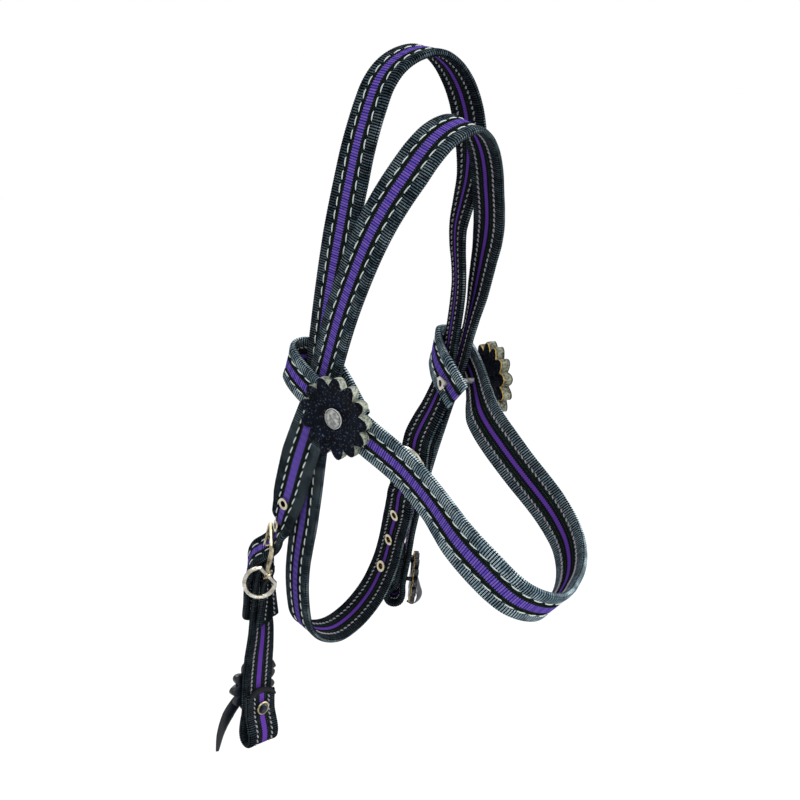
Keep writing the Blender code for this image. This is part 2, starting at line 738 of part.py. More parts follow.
def headpiece_curve(cheek, tail):
    route = stations(HEADPIECE_SHARES)
    bottom = placed(at(FAR_LOOP_SHARES), FAR_LOOP_DOWN, FAR_LOOP_WIDTH)
    line = smoothed([tail[0]] + list(reversed(billet_path(cheek))) + route
                    + loop_round(bottom, BIT_LOOP_RADIUS, -1))
    fold = laid_on(line, -LAYER_PITCH)
    fold = fold[station_index(line, route[-FAR_FOLD_STATIONS]):station_index(line, route[-1]) + 1]
    return with_round_tip(list(reversed(tail[1:])) + line + list(reversed(fold)), True)


def throat_curve(throat):
    up = stations(THROAT_UP_SHARES)
    upper = in_place(throat, -ARCH_HEIGHT, loop_radius())
    end = in_place(throat, -BUCKLE_WINDOW / 2, -loop_radius())
    line = smoothed([end] + loop_round(throat, loop_radius(), 1) + [upper] + up + billet_path(throat))
    tail = doubled(line, upper, THROAT_TAIL_LENGTH, -LAYER_PITCH - TAIL_SLACK)
    return with_round_tip(line + tail, False)


def browband_curve():
    near = placed(at(NEAR_WRAP_SHARES), NEAR_WRAP_REAR, NEAR_WRAP_AXIS)
    far = placed(at(FAR_WRAP_SHARES), FAR_WRAP_REAR, FAR_WRAP_AXIS)
    near_turn = wrap_round(near, NEAR_WRAP_RADIUS, WRAP_RISE)
    far_turn = wrap_round(far, FAR_WRAP_RADIUS, -WRAP_RISE)
    guide = (stations(NEAR_TAIL_SHARES) + near_turn + stations(BROWBAND_SHARES)
             + far_turn + stations(FAR_TAIL_SHARES))
    return smoothed(guide)


def make_straps():
    cheek, throat = buckle_places()
    hanger_line, hanger_main = hanger_curve(cheek)
    return {
        "headpiece": strap("headpiece", headpiece_curve(cheek, hanger_main), (True, False)),
        "throat_strap": strap("throat_strap", throat_curve(throat), (False, True)),
        "browband": strap("browband", browband_curve(), (False, False)),
        "bit_hanger": strap("bit_hanger", hanger_line, (False, False)),
    }


def prong_slots(name, place, chape_pieces, billet_pieces):
    """The slots that let a prong hook round its bar and come up through the billet."""
    depth = loop_radius() + LAYER_PITCH / 2
    slot = block(PRONG_SLOT_WIDTH, -PRONG_SLOT_REACH, depth + CUT_OVERRUN, depth)
    cut(chape_pieces, add_cutter("cut_chape_" + name, slot, place))
    middle = BUCKLE_WINDOW / 2
    reach = BILLET_SLOT_LENGTH / 2
    slot = block(BILLET_SLOT_WIDTH, middle - reach, middle + reach, 2 * depth)
    cut(billet_pieces, add_cutter("cut_billet_" + name, slot, place))


def make_cheek_buckle(straps):
    cheek, _ = buckle_places()
    line = rounded_frame(0, BUCKLE_WINDOW, BUCKLE_CORNER, BUCKLE_CORNER)
    data = rod_data(line, BAR_RADIUS, BAR_SIDES, Vector((0, 0, 1)), True)
    add_object("cheek_buckle_frame", data, cheek, brass("cheek_buckle_frame"))
    prong("cheek_buckle_prong", cheek, brass)
    prong_slots("cheek", cheek, straps["bit_hanger"][1], straps["headpiece"][1])


def make_throat_buckle(straps):
    _, throat = buckle_places()
    line = rounded_frame(-ARCH_HEIGHT, BUCKLE_WINDOW, ARCH_HEIGHT, BUCKLE_CORNER)
    data = rod_data(line, BAR_RADIUS, BAR_SIDES, Vector((0, 0, 1)), True)
    frame = add_object("throat_buckle_frame", data, throat, nickel("throat_buckle_frame"))
    half = frame_half_width()
    ends = [Vector((-half, 0, 0)), Vector((half, 0, 0))]
    bar_data = rod_data(ends, BAR_RADIUS - FIT_GAP / 2, BAR_SIDES, Vector((0, 0, 1)), False)
    bar = add_cutter("cut_centre_bar", bar_data, throat)
    joint = frame.modifiers.new("centre_bar", "BOOLEAN")
    joint.operation = "UNION"
    joint.solver = "EXACT"
    joint.object = bar
    prong("throat_buckle_prong", throat, nickel)
    pieces = straps["throat_strap"][1]
    prong_slots("throat", throat, pieces, pieces)


def make_eyelets(straps):
    for strap_name, shares, first, last in (
        ("headpiece", CHEEK_EYELET_SHARES, 0.0, 0.4),
        ("throat_strap", THROAT_EYELET_SHARES, 0.75, 1.0),
    ):
        rows, pieces = straps[strap_name]
        for number, share in enumerate(shares, 1):
            place = on_row(row_at_height(rows, share, first, last))
            name = f"{strap_name}_eyelet_{number}"
            cutter = round_cutter("cut_" + name, place, HOLE_RADIUS, WEB_THICKNESS, EYELET_SEGMENTS)
            cut(pieces, cutter)
            here = rows[int(len(rows) * first):int(len(rows) * last)]
            low, high = heights_near(place, here, EYELET_FLANGE_RADIUS + FIT_GAP)
            eyelet(name, place, max(high, -low) + FIT_GAP)


def heights_near(place, rows, reach):
    """The lowest and highest strap face within reach of a place's axis."""
    inward = place.inverted()
    face = WEB_THICKNESS / 2
    heights = []
    for low, high in zip(rows, rows[1:]):
        for step in range(16):
            centre = low[0].lerp(high[0], step / 16)
            across = low[1].lerp(high[1], step / 16) * reach
            normal = low[2].lerp(high[2], step / 16) * face
            for side in (normal, -normal):
                spots = [inward @ (centre + side + across * spread) for spread in (-1, 0, 1)]
                heights += [spot.z for spot in spots if spot.xy.length < reach * SAMPLE_MARGIN]
    return min(heights), max(heights)


def make_rosettes(straps):
    rows, pieces = straps["browband"]
    count = len(rows)
    for side, shares, out, tail_rows in (
        ("near", NEAR_ROSETTE_SHARES, NEAR_ROSETTE_OUT, rows[:count // 8]),
        ("far", FAR_ROSETTE_SHARES, FAR_ROSETTE_OUT, rows[-(count // 8):]),
    ):
        place = facing(at(shares), out, (0, 0, 1))
        back = place @ Matrix.Translation((0, 0, ROSETTE_LIFT))
        hole = SHANK_RADIUS + FIT_GAP
        rosette("rosette_" + side, back, ROSETTE_RADIUS, ROSETTE_THICKNESS, ROSETTE_PETALS, hole)
        low, high = heights_near(place, tail_rows, NUT_FLANGE_RADIUS + FIT_GAP)
        seat = ROSETTE_LIFT + ROSETTE_THICKNESS * 0.72
        rosette_screw("rosette_screw_" + side, place, seat, -high + WEB_THICKNESS)
        rosette_nut("rosette_nut_" + side, place, low - FIT_GAP, WEB_THICKNESS)
        depth = WEB_THICKNESS - low
        cutter = round_cutter("cut_screw_" + side, place, HOLE_RADIUS, depth, SCREW_SEGMENTS)
        cut(pieces, cutter)


def make_bit_ends(straps):
    """The small rosette and stud on each bit loop."""
    layers = LAYER_PITCH + WEB_THICKNESS / 2
    for side, strap_name, first, last, rosette_share, stud_share, turn, lift in (
        ("near", "bit_hanger", 0.35, 0.8, NEAR_BIT_ROSETTE_SHARE, NEAR_STUD_SHARE, 1, 0),
        ("far", "headpiece", 0.6, 0.92, FAR_BIT_ROSETTE_SHARE, FAR_STUD_SHARE, -1, FAR_BIT_ROSETTE_LIFT),
    ):
        behind = WEB_THICKNESS / 2 + FIT_GAP + lift
        rows, pieces = straps[strap_name]
        point, _, normal, run = row_at_height(rows, rosette_share, first, last)
        out = -normal * turn
        back = facing(point + out * behind, out, -run)
        hole = row_at_height(rows, stud_share, first, last)[0]
        stud_place = facing(hole + out * (point - hole).dot(out), -out, -run)
        name = "bit_rosette_" + side
        shape = scalloped(BIT_ROSETTE_RADIUS, BIT_ROSETTE_PETALS, BIT_ROSETTE_SCALLOP_SHARE)
        top = BIT_ROSETTE_THICKNESS
        outline = [
            (0, top), (BIT_ROSETTE_RADIUS * 0.8, top), (BIT_ROSETTE_RADIUS, top * 0.6),
            (BIT_ROSETTE_RADIUS * 0.95, 0), (0, 0),
        ]
        disc = add_object(name, turned(outline, BIT_ROSETTE_PETALS * BIT_PETAL_SEGMENTS, shape), back, hide(name))
        low = -behind - BIT_ROSETTE_THICKNESS - FIT_GAP
        _, folded = heights_near(stud_place, rows, STUD_CAP_RADIUS + FIT_GAP)
        high = folded + FIT_GAP
        cutter = round_cutter("cut_stud_" + side, stud_place, STUD_HOLE_RADIUS,
                              layers + BIT_ROSETTE_THICKNESS + lift, STUD_SEGMENTS)
        cut(pieces + [disc], cutter)
        stud("stud_" + side, stud_place, low, high)


def make_ties():
    for name, table in (("tie_near", NEAR_TIE_SHARES), ("tie_far", FAR_TIE_SHARES)):
        outline = flat_outline(TIE_WIDTH, TIE_THICKNESS)
        rings = [ring_at(row, outline, 1.0) for row in framed(smoothed(stations(table)))]
        sweep(name, rings, thong(name))


def make_dee():
    """A small dee in a link ring fixed on the near buckle's front side bar."""
    cheek, _ = buckle_places()
    side_bar = cheek @ Vector((frame_half_width(), LINK_HEIGHT, 0))
    outward = cheek.col[0].to_3d()
    middle = side_bar + outward * (BAR_RADIUS + 2 * FIT_GAP + LINK_WIRE_RADIUS + LINK_RADIUS)
    link = facing(middle, Vector(DEE_BAR), outward)
    line = arc_points((0, 0), LINK_RADIUS, 0, 340, 17)
    data = rod_data(line, LINK_WIRE_RADIUS, 6, Vector((0, 0, 1)), True)
    add_object("dee_link", data, link, brass("dee_link"))
    bar_middle = middle + outward * (LINK_RADIUS - LINK_WIRE_RADIUS - FIT_GAP - DEE_WIRE_RADIUS)
    place = placed(bar_middle, DEE_REACH, DEE_BAR)
    start = -math.degrees(math.asin(DEE_ARC_OFFSET / DEE_ARC_RADIUS))
    line = arc_points((0, DEE_ARC_OFFSET), DEE_ARC_RADIUS, start, 180 - start, 18)
    data = rod_data(line, DEE_WIRE_RADIUS, BAR_SIDES, Vector((0, 0, 1)), True)
    add_object("dee_ring", data, place, nickel("dee_ring"))


def main():
    for old in list(bpy.data.objects):
        bpy.data.objects.remove(old)
    straps = make_straps()
    make_cheek_buckle(straps)
    make_throat_buckle(straps)
    make_eyelets(straps)
    make_rosettes(straps)
    make_bit_ends(straps)
    make_ties()
    make_dee()


main()
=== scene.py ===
import math
import random
from functools import partialmethod

import bmesh
import bpy
import numpy as np
from mathutils import Matrix, Vector


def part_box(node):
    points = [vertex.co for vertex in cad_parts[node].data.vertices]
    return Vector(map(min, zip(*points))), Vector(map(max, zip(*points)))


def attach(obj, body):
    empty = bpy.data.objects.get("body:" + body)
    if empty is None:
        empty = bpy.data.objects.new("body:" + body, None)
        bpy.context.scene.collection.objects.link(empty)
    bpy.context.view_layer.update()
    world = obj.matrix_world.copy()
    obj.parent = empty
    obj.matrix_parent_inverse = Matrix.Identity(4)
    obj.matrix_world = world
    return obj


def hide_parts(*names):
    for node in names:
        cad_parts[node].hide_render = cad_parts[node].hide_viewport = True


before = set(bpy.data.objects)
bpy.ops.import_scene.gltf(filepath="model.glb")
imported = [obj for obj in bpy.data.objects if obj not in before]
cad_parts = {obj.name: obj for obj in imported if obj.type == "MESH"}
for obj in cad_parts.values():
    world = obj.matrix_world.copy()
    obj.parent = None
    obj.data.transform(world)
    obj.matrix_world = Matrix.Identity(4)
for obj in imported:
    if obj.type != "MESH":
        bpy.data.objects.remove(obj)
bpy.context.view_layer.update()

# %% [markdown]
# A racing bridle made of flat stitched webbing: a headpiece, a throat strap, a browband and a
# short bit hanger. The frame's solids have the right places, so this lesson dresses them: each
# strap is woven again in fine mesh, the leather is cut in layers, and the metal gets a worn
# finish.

MM = 0.001

# %% [markdown]
# A material is a calculation for each point of a surface. Python can write it as on paper if a
# wrapped socket knows the operators: `Link` adds a Math node for each of them, and `Finish`
# holds the material. Wiring each node by hand would hide the sums in a list of links.

# %% Shader sums as Python expressions
class Link:
    """A value on its way through a finish's nodes."""

    def __init__(self, finish, socket):
        self.finish = finish
        self.socket = socket

    def sum(self, operation, *others, turned=False):
        values = (*others, self) if turned else (self, *others)
        return self.finish.node("ShaderNodeMath", {"operation": operation}, dict(enumerate(values)))

    __add__ = partialmethod(sum, "ADD")
    __sub__ = partialmethod(sum, "SUBTRACT")
    __rsub__ = partialmethod(sum, "SUBTRACT", turned=True)
    __mul__ = partialmethod(sum, "MULTIPLY")
    __truediv__ = partialmethod(sum, "DIVIDE")
    __mod__ = partialmethod(sum, "FLOORED_MODULO")
    __abs__ = partialmethod(sum, "ABSOLUTE")
    highest = partialmethod(sum, "MAXIMUM")


class Nodes:
    """A tree of nodes under construction."""

    def __init__(self, tree):
        self.tree = tree
        tree.nodes.clear()

    def node(self, kind, settings=None, sockets=None, out=0):
        made = self.tree.nodes.new(kind)
        for key, value in (settings or {}).items():
            setattr(made, key, value)
        for key, value in (sockets or {}).items():
            if isinstance(value, Link):
                self.tree.links.new(value.socket, made.inputs[key])
            else:
                made.inputs[key].default_value = value
        return made if out is None else Link(self, made.outputs[out])

    def mix(self, share, low, high):
        """A colour between two others."""
        return self.node("ShaderNodeMix", {"data_type": "RGBA"}, {0: share, 6: low, 7: high}, 2)

    def step(self, value, low, high):
        """0 below low, 1 above high, and a smooth rise between."""
        sockets = {"Value": value, "From Min": low, "From Max": high}
        return self.node("ShaderNodeMapRange", {"interpolation_type": "SMOOTHSTEP"}, sockets)

    def noise(self, scale, detail=3.0, place=None):
        sockets = {"Vector": place or self.place(), "Scale": scale, "Detail": detail}
        return self.node("ShaderNodeTexNoise", {}, sockets)

    def place(self):
        return self.node("ShaderNodeTexCoord", {}, {}, "Object")

    def is_looked_at(self):
        """1 for rays of the camera, a reflection or a refraction, 0 for light that falls."""
        camera, mirror, glass = (self.node("ShaderNodeLightPath", {}, {}, "Is " + kind + " Ray")
                                 for kind in ("Camera", "Glossy", "Transmission"))
        return camera.highest(mirror).highest(glass)


class Finish(Nodes):
    """A material under construction, with its Principled surface."""

    def __init__(self, name, **constants):
        self.material = bpy.data.materials.new(name)
        self.material.use_nodes = True
        super().__init__(self.material.node_tree)
        settled = {socket.replace("_", " "): value for socket, value in constants.items()}
        self.skin = self.node("ShaderNodeBsdfPrincipled", {}, settled)
        self.output = self.node("ShaderNodeOutputMaterial", {}, {"Surface": self.skin}, None)

    def feed(self, socket, value):
        port = self.skin.socket.node.inputs[socket]
        if isinstance(value, Link):
            self.tree.links.new(value.socket, port)
        else:
            port.default_value = value

    def surface(self, colour, roughness, height, depth):
        """The material, with a relief of `depth` millimetres where height is 1."""
        relief = {"Strength": 1.0, "Distance": depth * MM, "Height": height}
        self.feed("Base Color", colour)
        self.feed("Roughness", roughness)
        self.feed("Normal", self.node("ShaderNodeBump", {}, relief))
        return self.material


def shade(red, green, blue):
    """A colour as it is read from a screen, turned into light."""
    light = [(c / 255 / 12.92) if c <= 10 else ((c / 255 + 0.055) / 1.055) ** 2.4
             for c in (red, green, blue)]
    return (*light, 1.0)


print("a mid grey of 128 is", round(shade(128, 128, 128)[0], 3), "as light")

# %% [markdown]
# Where the camera stands decides what the picture can be compared with: in front, on the near
# side and slightly above. A place and three directions give it, which is plainer than angles.

# %% Camera
def shown(name, data):
    made = bpy.data.objects.new(name, data)
    bpy.context.scene.collection.objects.link(made)
    return made


camera_data = bpy.data.cameras.new("camera")
camera_data.lens = 45
camera_data.sensor_width = 36
camera = shown("camera", camera_data)
RIGHT = Vector((0.750, -0.661, 0.0)).normalized()
LOOK = Vector((0.632, 0.717, -0.292)).normalized()
UP = RIGHT.cross(LOOK).normalized()
camera.matrix_world = Matrix((RIGHT, UP, -LOOK)).transposed().to_4x4()
camera.location = (-0.3975, -0.4058, 0.0175)
bpy.context.scene.camera = camera
print("camera stands", round(camera.location.length, 2), "m from the poll")

# %% [markdown]
# The stage is a pale floor below the hanging bridle, and three large soft lamps. The world is
# white only where the camera, a reflection or a refraction looks at it; as light it is a softer
# grey, so the black webbing keeps its depth.

# %% Stage
def make_world():
    world = bpy.data.worlds.new("studio")
    bpy.context.scene.world = world
    world.use_nodes = True
    studio = Nodes(world.node_tree)
    strength = studio.is_looked_at() * (1 - WORLD_LIGHT) + WORLD_LIGHT
    sky = studio.node("ShaderNodeBackground", {}, {"Color": (1, 1, 1, 1), "Strength": strength})
    studio.node("ShaderNodeOutputWorld", {}, {"Surface": sky}, None)


def make_floor():
    mesh = bpy.data.meshes.new("floor")
    size = FLOOR_SIZE
    mesh.from_pydata([(-size, -size, 0), (size, -size, 0), (size, size, 0), (-size, size, 0)],
                     [], [(0, 1, 2, 3)])
    floor = shown("floor", mesh)
    floor.location.z = FLOOR_HEIGHT
    finish = Finish("pale_floor", Roughness=0.9)
    speckle = finish.noise(60.0)
    finish.feed("Base Color", finish.mix(speckle, shade(246, 246, 246), shade(252, 252, 252)))
    glow = finish.node("ShaderNodeEmission", {}, {"Strength": FLOOR_WHITE})
    share = finish.is_looked_at() * FLOOR_GLOW
    both = finish.node("ShaderNodeMixShader", {}, {0: share, 1: finish.skin, 2: glow})
    finish.tree.links.new(both.socket, finish.output.inputs["Surface"])
    mesh.materials.append(finish.material)


def make_lamp(name, place, size, power):
    data = bpy.data.lights.new(name, "AREA")
    data.size = size
    data.energy = power
    lamp = shown(name, data)
    lamp.location = place
    lamp.rotation_euler = (HANGING_MIDDLE - Vector(place)).to_track_quat("-Z", "Y").to_euler()


WORLD_LIGHT = 0.55
FLOOR_SIZE = 6.0
FLOOR_HEIGHT = -0.62
FLOOR_GLOW = 0.9
FLOOR_WHITE = 1.05
HANGING_MIDDLE = Vector((0, 0, -0.2))
make_world()
make_floor()
make_lamp("key_window", (-0.9, -1.3, 1.3), 1.0, 20)
make_lamp("fill_window", (1.4, -0.9, 0.5), 1.2, 32)
make_lamp("back_window", (0.4, 1.5, 1.0), 1.0, 16)
bpy.context.scene.view_settings.view_transform = "Standard"
print("three soft lamps and a floor", round(-FLOOR_HEIGHT, 2), "m below the poll")

# %% [markdown]
# A strap's route through space could be traced from a mesh, but a few listed stations, each
# with the direction of the strap's width, describe it better. They are the stations of the solid
# frame, in tenths of a metre. `placed` and `facing` turn two directions into a place.

# %% Sizes of the webbing, and places
FIT_GAP = 0.0003
WEB_WIDTH = 0.025
WEB_THICKNESS = 0.0042
LAYER_PITCH = WEB_THICKNESS + FIT_GAP
ROUTE_UNIT = 0.1


def at(shares):
    return Vector(shares) * ROUTE_UNIT


def stations(table):
    """Points and width directions from rows of six numbers."""
    return [(at(row[:3]), Vector(row[3:]).normalized()) for row in table]


def squared(direction, run):
    """The direction turned square to a run."""
    return (direction - direction.project(run)).normalized()


def placed(origin, along, width):
    """A place whose X is a strap's width, Y runs along and Z points out of its face."""
    y = Vector(along).normalized()
    x = squared(Vector(width), y)
    place = Matrix((x, y, x.cross(y))).transposed().to_4x4()
    place.translation = origin
    return place


def facing(origin, out, up):
    """A place whose Z is `out` and whose Y is as near to `up` as it can be."""
    z = Vector(out).normalized()
    y = squared(Vector(up), z)
    place = Matrix((y.cross(z), y, z)).transposed().to_4x4()
    place.translation = origin
    return place


def in_place(place, along, out):
    return place @ Vector((0, along, out)), place.col[0].to_3d()


print("a layer of webbing takes", round(LAYER_PITCH / MM, 1), "mm")

# %% [markdown]
# Between two stations the strap bends like a springy ruler. A cubic that leaves and meets
# each station in the average direction of its neighbours does this, and the width direction
# turns evenly on the way. A row of the strap is its point, its width, its normal and its run.

# %% A smooth line through the stations
LONGEST_STEP = 0.016
TURN_STEP = math.radians(31)
TWIST_STEP = math.radians(10)


def slope_at(points, index):
    """The direction of a smooth curve at one of its points."""
    if index == 0:
        return points[1] - points[0]
    if index == len(points) - 1:
        return points[-1] - points[-2]
    before = points[index] - points[index - 1]
    after = points[index + 1] - points[index]
    return before * (after.length / before.length) + after * (before.length / after.length)


def drawn(guide, count, ease):
    """A cubic through the stations, with `count` steps from each to the next."""
    points, widths = zip(*guide)
    slopes = [slope_at(points, index).normalized() for index in range(len(points))]
    curve = []
    for start, end, leave, arrive, near, far in zip(points, points[1:], slopes, slopes[1:],
                                                    widths, widths[1:]):
        chord = (end - start).length
        steps = count(chord, leave.angle(arrive), near.angle(far))
        for step in range(steps):
            u = step / steps
            point = (start * (2 * u ** 3 - 3 * u ** 2 + 1) + leave * chord * (u ** 3 - 2 * u ** 2 + u)
                     + end * (3 * u ** 2 - 2 * u ** 3) + arrive * chord * (u ** 3 - u ** 2))
            curve.append((point, near.lerp(far, ease(u))))
    return curve + [guide[-1]]


def smoothed(guide):
    """Stations closely enough spaced for the curve's bends and twists."""
    def count(chord, turn, twist):
        return math.ceil(max(turn / TURN_STEP, twist / TWIST_STEP, chord / LONGEST_STEP))

    return drawn(guide, count, lambda u: 3 * u ** 2 - 2 * u ** 3)


def framed(curve):
    """Each station with its width and its normal square to the run of the strap."""
    points = [point for point, _ in curve]
    rows = []
    for index, (point, width) in enumerate(curve):
        run = slope_at(points, index).normalized()
        across = squared(width, run)
        rows.append((point, across, across.cross(run), run))
    return rows


def laid_on(guide, lift):
    """The same run of strap, lifted off along its normal."""
    return [(point + normal * lift, width) for (point, width, normal, _) in framed(guide)]


print("no step of the line turns more than", round(math.degrees(TURN_STEP)), "degrees")

# %% [markdown]
# A strap takes half a turn round a bar or round other straps. Where it ends it is doubled, and
# the second layer is the line of the first, lifted off by a layer. Its end in a buckle, the
# billet, comes from under the end bar and rises over the prong's bar.

# %% Turns, doubled ends and buckles
BAR_RADIUS = 0.0016
BUCKLE_WINDOW = 0.021
BILLET_SLACK = 0.0004
# Shares of the window along it, and of the rise from one side of the bars to the other
BILLET_PATH_SHARES = (
    (1.29, 0), (1.05, 0), (0.87, 0.07), (0.50, 0.52), (0.21, 0.91), (0, 1), (-0.29, 0.99),
)


def loop_round(place, radius, side):
    """Half a turn round the place's X axis, from its -Z side by its +Y side to +Z."""
    angles = [math.pi * step / 6 for step in range(7)]
    return [in_place(place, radius * math.sin(angle), -side * radius * math.cos(angle))
            for angle in angles]


def wrap_round(place, radius, rise):
    """A loop that comes down along its axis by `rise`."""
    turn = loop_round(place, radius, 1)
    last = len(turn) - 1
    climb = place.col[0].to_3d() * rise
    return [(point + climb * (0.5 - step / last), width)
            for step, (point, width) in enumerate(turn)]


def loop_radius():
    """A strap's centre line round a bar."""
    return BAR_RADIUS + FIT_GAP + WEB_THICKNESS / 2


def billet_path(place):
    under = -loop_radius() - FIT_GAP
    over = loop_radius() + LAYER_PITCH + BILLET_SLACK
    return [in_place(place, along * BUCKLE_WINDOW, under + (over - under) * rise)
            for along, rise in BILLET_PATH_SHARES]


def station_index(curve, station):
    return next(index for index, (point, _) in enumerate(curve) if point == station[0])


def doubled(curve, start, length, lift):
    """The stretch of a second layer that lies on a strap from one of its stations on."""
    layer = laid_on(curve, lift)[station_index(curve, start):]
    run = 0.0
    for count in range(1, len(layer)):
        run += (layer[count][0] - layer[count - 1][0]).length
        if run >= length:
            return layer[:count + 1]
    return layer


def folded(line, route, count, lift):
    """The second layer over the last stations of a route, from its end back."""
    first, last = station_index(line, route[-count]), station_index(line, route[-1])
    return list(reversed(laid_on(line, lift)[first:last + 1]))


print("a strap goes round a bar at", round(loop_radius() / MM, 1), "mm from its axis")

# %% [markdown]
# The near bit hanger goes round the heel bar of the cheek buckle, comes down with its end
# doubled behind it, and folds up into a loop for the bit's ring. The headpiece's tail lies
# along it, so this route comes first and gives the tail as well.

# %% The bit hanger's route
HANGER_SHARES = (
    (-0.63, 1.198, -2.94, -0.62, -0.72, -0.28), (-0.61, 1.22, -3.12, -0.8, -0.57, -0.15),
    (-0.605, 1.23, -3.21, -0.87, -0.47, -0.08), (-0.6, 1.24, -3.4, -0.96, -0.26, 0.04),
    (-0.61, 1.26, -3.58, -0.99, -0.1, 0.08), (-0.62, 1.28, -3.76, -1, -0.05, 0.08),
    (-0.63, 1.285, -3.88, -1, -0.06, 0.08), (-0.645, 1.275, -4.02, -0.99, -0.05, 0.05),
)
HANGER_FOLD_STATIONS = 2
BIT_LOOP_RADIUS = 0.0056
CHAPE_LENGTH = 0.028
CHEEK_TAIL_LENGTH = 0.036
TWISTED_LAYER_SLACK = 0.0012
TAIL_SLACK = 0.0014
CHEEK = placed(at((-0.6045, 1.137, -2.82)), (0.03, -0.36, 0.93), (-0.53, -0.79, -0.31))
HANGER_LOOP = placed(at((-0.66, 1.235, -4.2)), (-0.08, -0.1, -0.99), (-1.0, -0.03, 0.03))
hanger = stations(HANGER_SHARES)
line = smoothed(loop_round(CHEEK, loop_radius(), 1) + hanger + loop_round(HANGER_LOOP, BIT_LOOP_RADIUS, 1))
chape = doubled(line, hanger[0], CHAPE_LENGTH, LAYER_PITCH + TWISTED_LAYER_SLACK)
CHEEK_TAIL = doubled(line, hanger[0], CHEEK_TAIL_LENGTH, -LAYER_PITCH - TAIL_SLACK)
HANGER_LINE = chape[::-1] + line + folded(line, hanger, HANGER_FOLD_STATIONS, LAYER_PITCH)
print("the bit hanger has", len(HANGER_LINE), "rows")

# %% [markdown]
# The headpiece rises from the cheek buckle, crosses the poll and comes down on the far side,
# where it ends in the far bit loop.

# %% The headpiece's route
HEADPIECE_SHARES = (
    (-0.56, 0.99, -2.5, -0.15, -0.92, -0.37), (-0.56, 0.88, -2.25, 0.25, -0.89, -0.37),
    (-0.56, 0.77, -1.99, 0.35, -0.86, -0.36), (-0.55, 0.7, -1.83, 0.25, -0.88, -0.38),
    (-0.54, 0.63, -1.66, 0.04, -0.91, -0.4), (-0.535, 0.55, -1.48, 0.02, -0.92, -0.4),
    (-0.52, 0.32, -0.93, 0.05, -0.92, -0.4), (-0.43, 0.12, -0.46, 0.15, -0.9, -0.42),
    (-0.31, 0.03, -0.23, 0.2, -0.88, -0.42), (-0.14, -0.02, -0.04, 0.13, -0.92, -0.37),
    (0.06, -0.02, 0.02, 0.1, -0.95, -0.3), (0.26, 0.04, -0.1, 0.1, -0.96, -0.26),
    (0.4, 0.12, -0.35, 0.07, -0.96, -0.27), (0.48, 0.18, -0.57, 0.03, -0.96, -0.27),
    (0.53, 0.28, -0.88, -0.25, -0.93, -0.29), (0.55, 0.4, -1.28, -0.57, -0.77, -0.27),
    (0.55, 0.48, -1.53, -0.57, -0.77, -0.27), (0.54, 0.58, -1.8, -0.58, -0.77, -0.25),
    (0.52, 0.76, -2.34, -0.62, -0.75, -0.22), (0.52, 0.91, -2.84, -0.66, -0.72, -0.2),
    (0.514, 0.946, -3.04, -0.66, -0.72, -0.2), (0.504, 0.967, -3.16, -0.66, -0.72, -0.2),
    (0.497, 0.982, -3.25, -0.66, -0.72, -0.2),
)
FAR_FOLD_STATIONS = 3
FAR_LOOP = placed(at((0.451, 1.031, -3.37)), (-0.08, 0.18, -0.98), (-0.66, -0.72, -0.2))
route = stations(HEADPIECE_SHARES)
line = smoothed([CHEEK_TAIL[0]] + billet_path(CHEEK)[::-1] + route
                + loop_round(FAR_LOOP, BIT_LOOP_RADIUS, -1))
HEADPIECE_LINE = CHEEK_TAIL[:0:-1] + line + folded(line, route, FAR_FOLD_STATIONS, -LAYER_PITCH)
print("the headpiece has", len(HEADPIECE_LINE), "rows")

# %% [markdown]
# The throat strap runs up the far side from its buckle, over the poll, down the near side,
# under the throat and back up to the buckle.

# %% The throat strap's route
ARCH_HEIGHT = 0.013
THROAT_TAIL_LENGTH = 0.026
THROAT_UP_SHARES = (
    (0.32, 0.64, -2.05, -0.05, -0.98, -0.17), (0.39, 0.575, -1.84, -0.22, -0.96, -0.15),
    (0.465, 0.545, -1.66, -0.3, -0.94, -0.1), (0.478, 0.53, -1.56, -0.42, -0.9, -0.1),
    (0.487, 0.5, -1.38, -0.52, -0.85, -0.1), (0.49, 0.44, -0.98, -0.5, -0.86, -0.07),
    (0.47, 0.435, -0.62, -0.42, -0.9, -0.08), (0.505, 0.385, -0.32, -0.23, -0.97, -0.1),
    (0.46, 0.34, -0.02, 0.1, -0.99, -0.06), (0.32, 0.31, 0.26, 0.08, -0.99, -0.08),
    (0.09, 0.29, 0.41, 0, -0.99, -0.16), (-0.21, 0.31, 0.31, 0.01, -0.99, -0.16),
    (-0.35, 0.35, 0.02, 0.07, -0.98, -0.19), (-0.4, 0.41, -0.28, 0.14, -0.97, -0.2),
    (-0.43, 0.48, -0.6, 0.2, -0.96, -0.2), (-0.46, 0.535, -0.9, 0.1, -0.97, -0.2),
    (-0.48, 0.585, -1.18, 0.03, -0.98, -0.2), (-0.488, 0.63, -1.42, 0.02, -0.98, -0.2),
    (-0.488, 0.675, -1.63, 0.03, -0.98, -0.2), (-0.48, 0.73, -1.87, 0.18, -0.96, -0.2),
    (-0.475, 0.79, -2.14, 0.15, -0.97, -0.2), (-0.475, 0.85, -2.46, 0.02, -0.98, -0.2),
    (-0.485, 0.92, -2.77, -0.05, -0.98, -0.2), (-0.46, 0.98, -3.08, -0.02, -0.98, -0.19),
    (-0.35, 1.04, -3.38, 0.02, -0.98, -0.19), (-0.11, 1.06, -3.5, -0.03, -0.96, -0.25),
    (0.16, 1.01, -3.34, -0.05, -0.97, -0.24), (0.28, 0.93, -3.05, -0.06, -0.97, -0.24),
    (0.29, 0.85, -2.77, -0.06, -0.97, -0.24),
)
THROAT = placed(at((0.2725, 0.672, -2.247)), (0.0, 0.17, -0.98), (0.0, -0.985, -0.17))
upper = in_place(THROAT, -ARCH_HEIGHT, loop_radius())
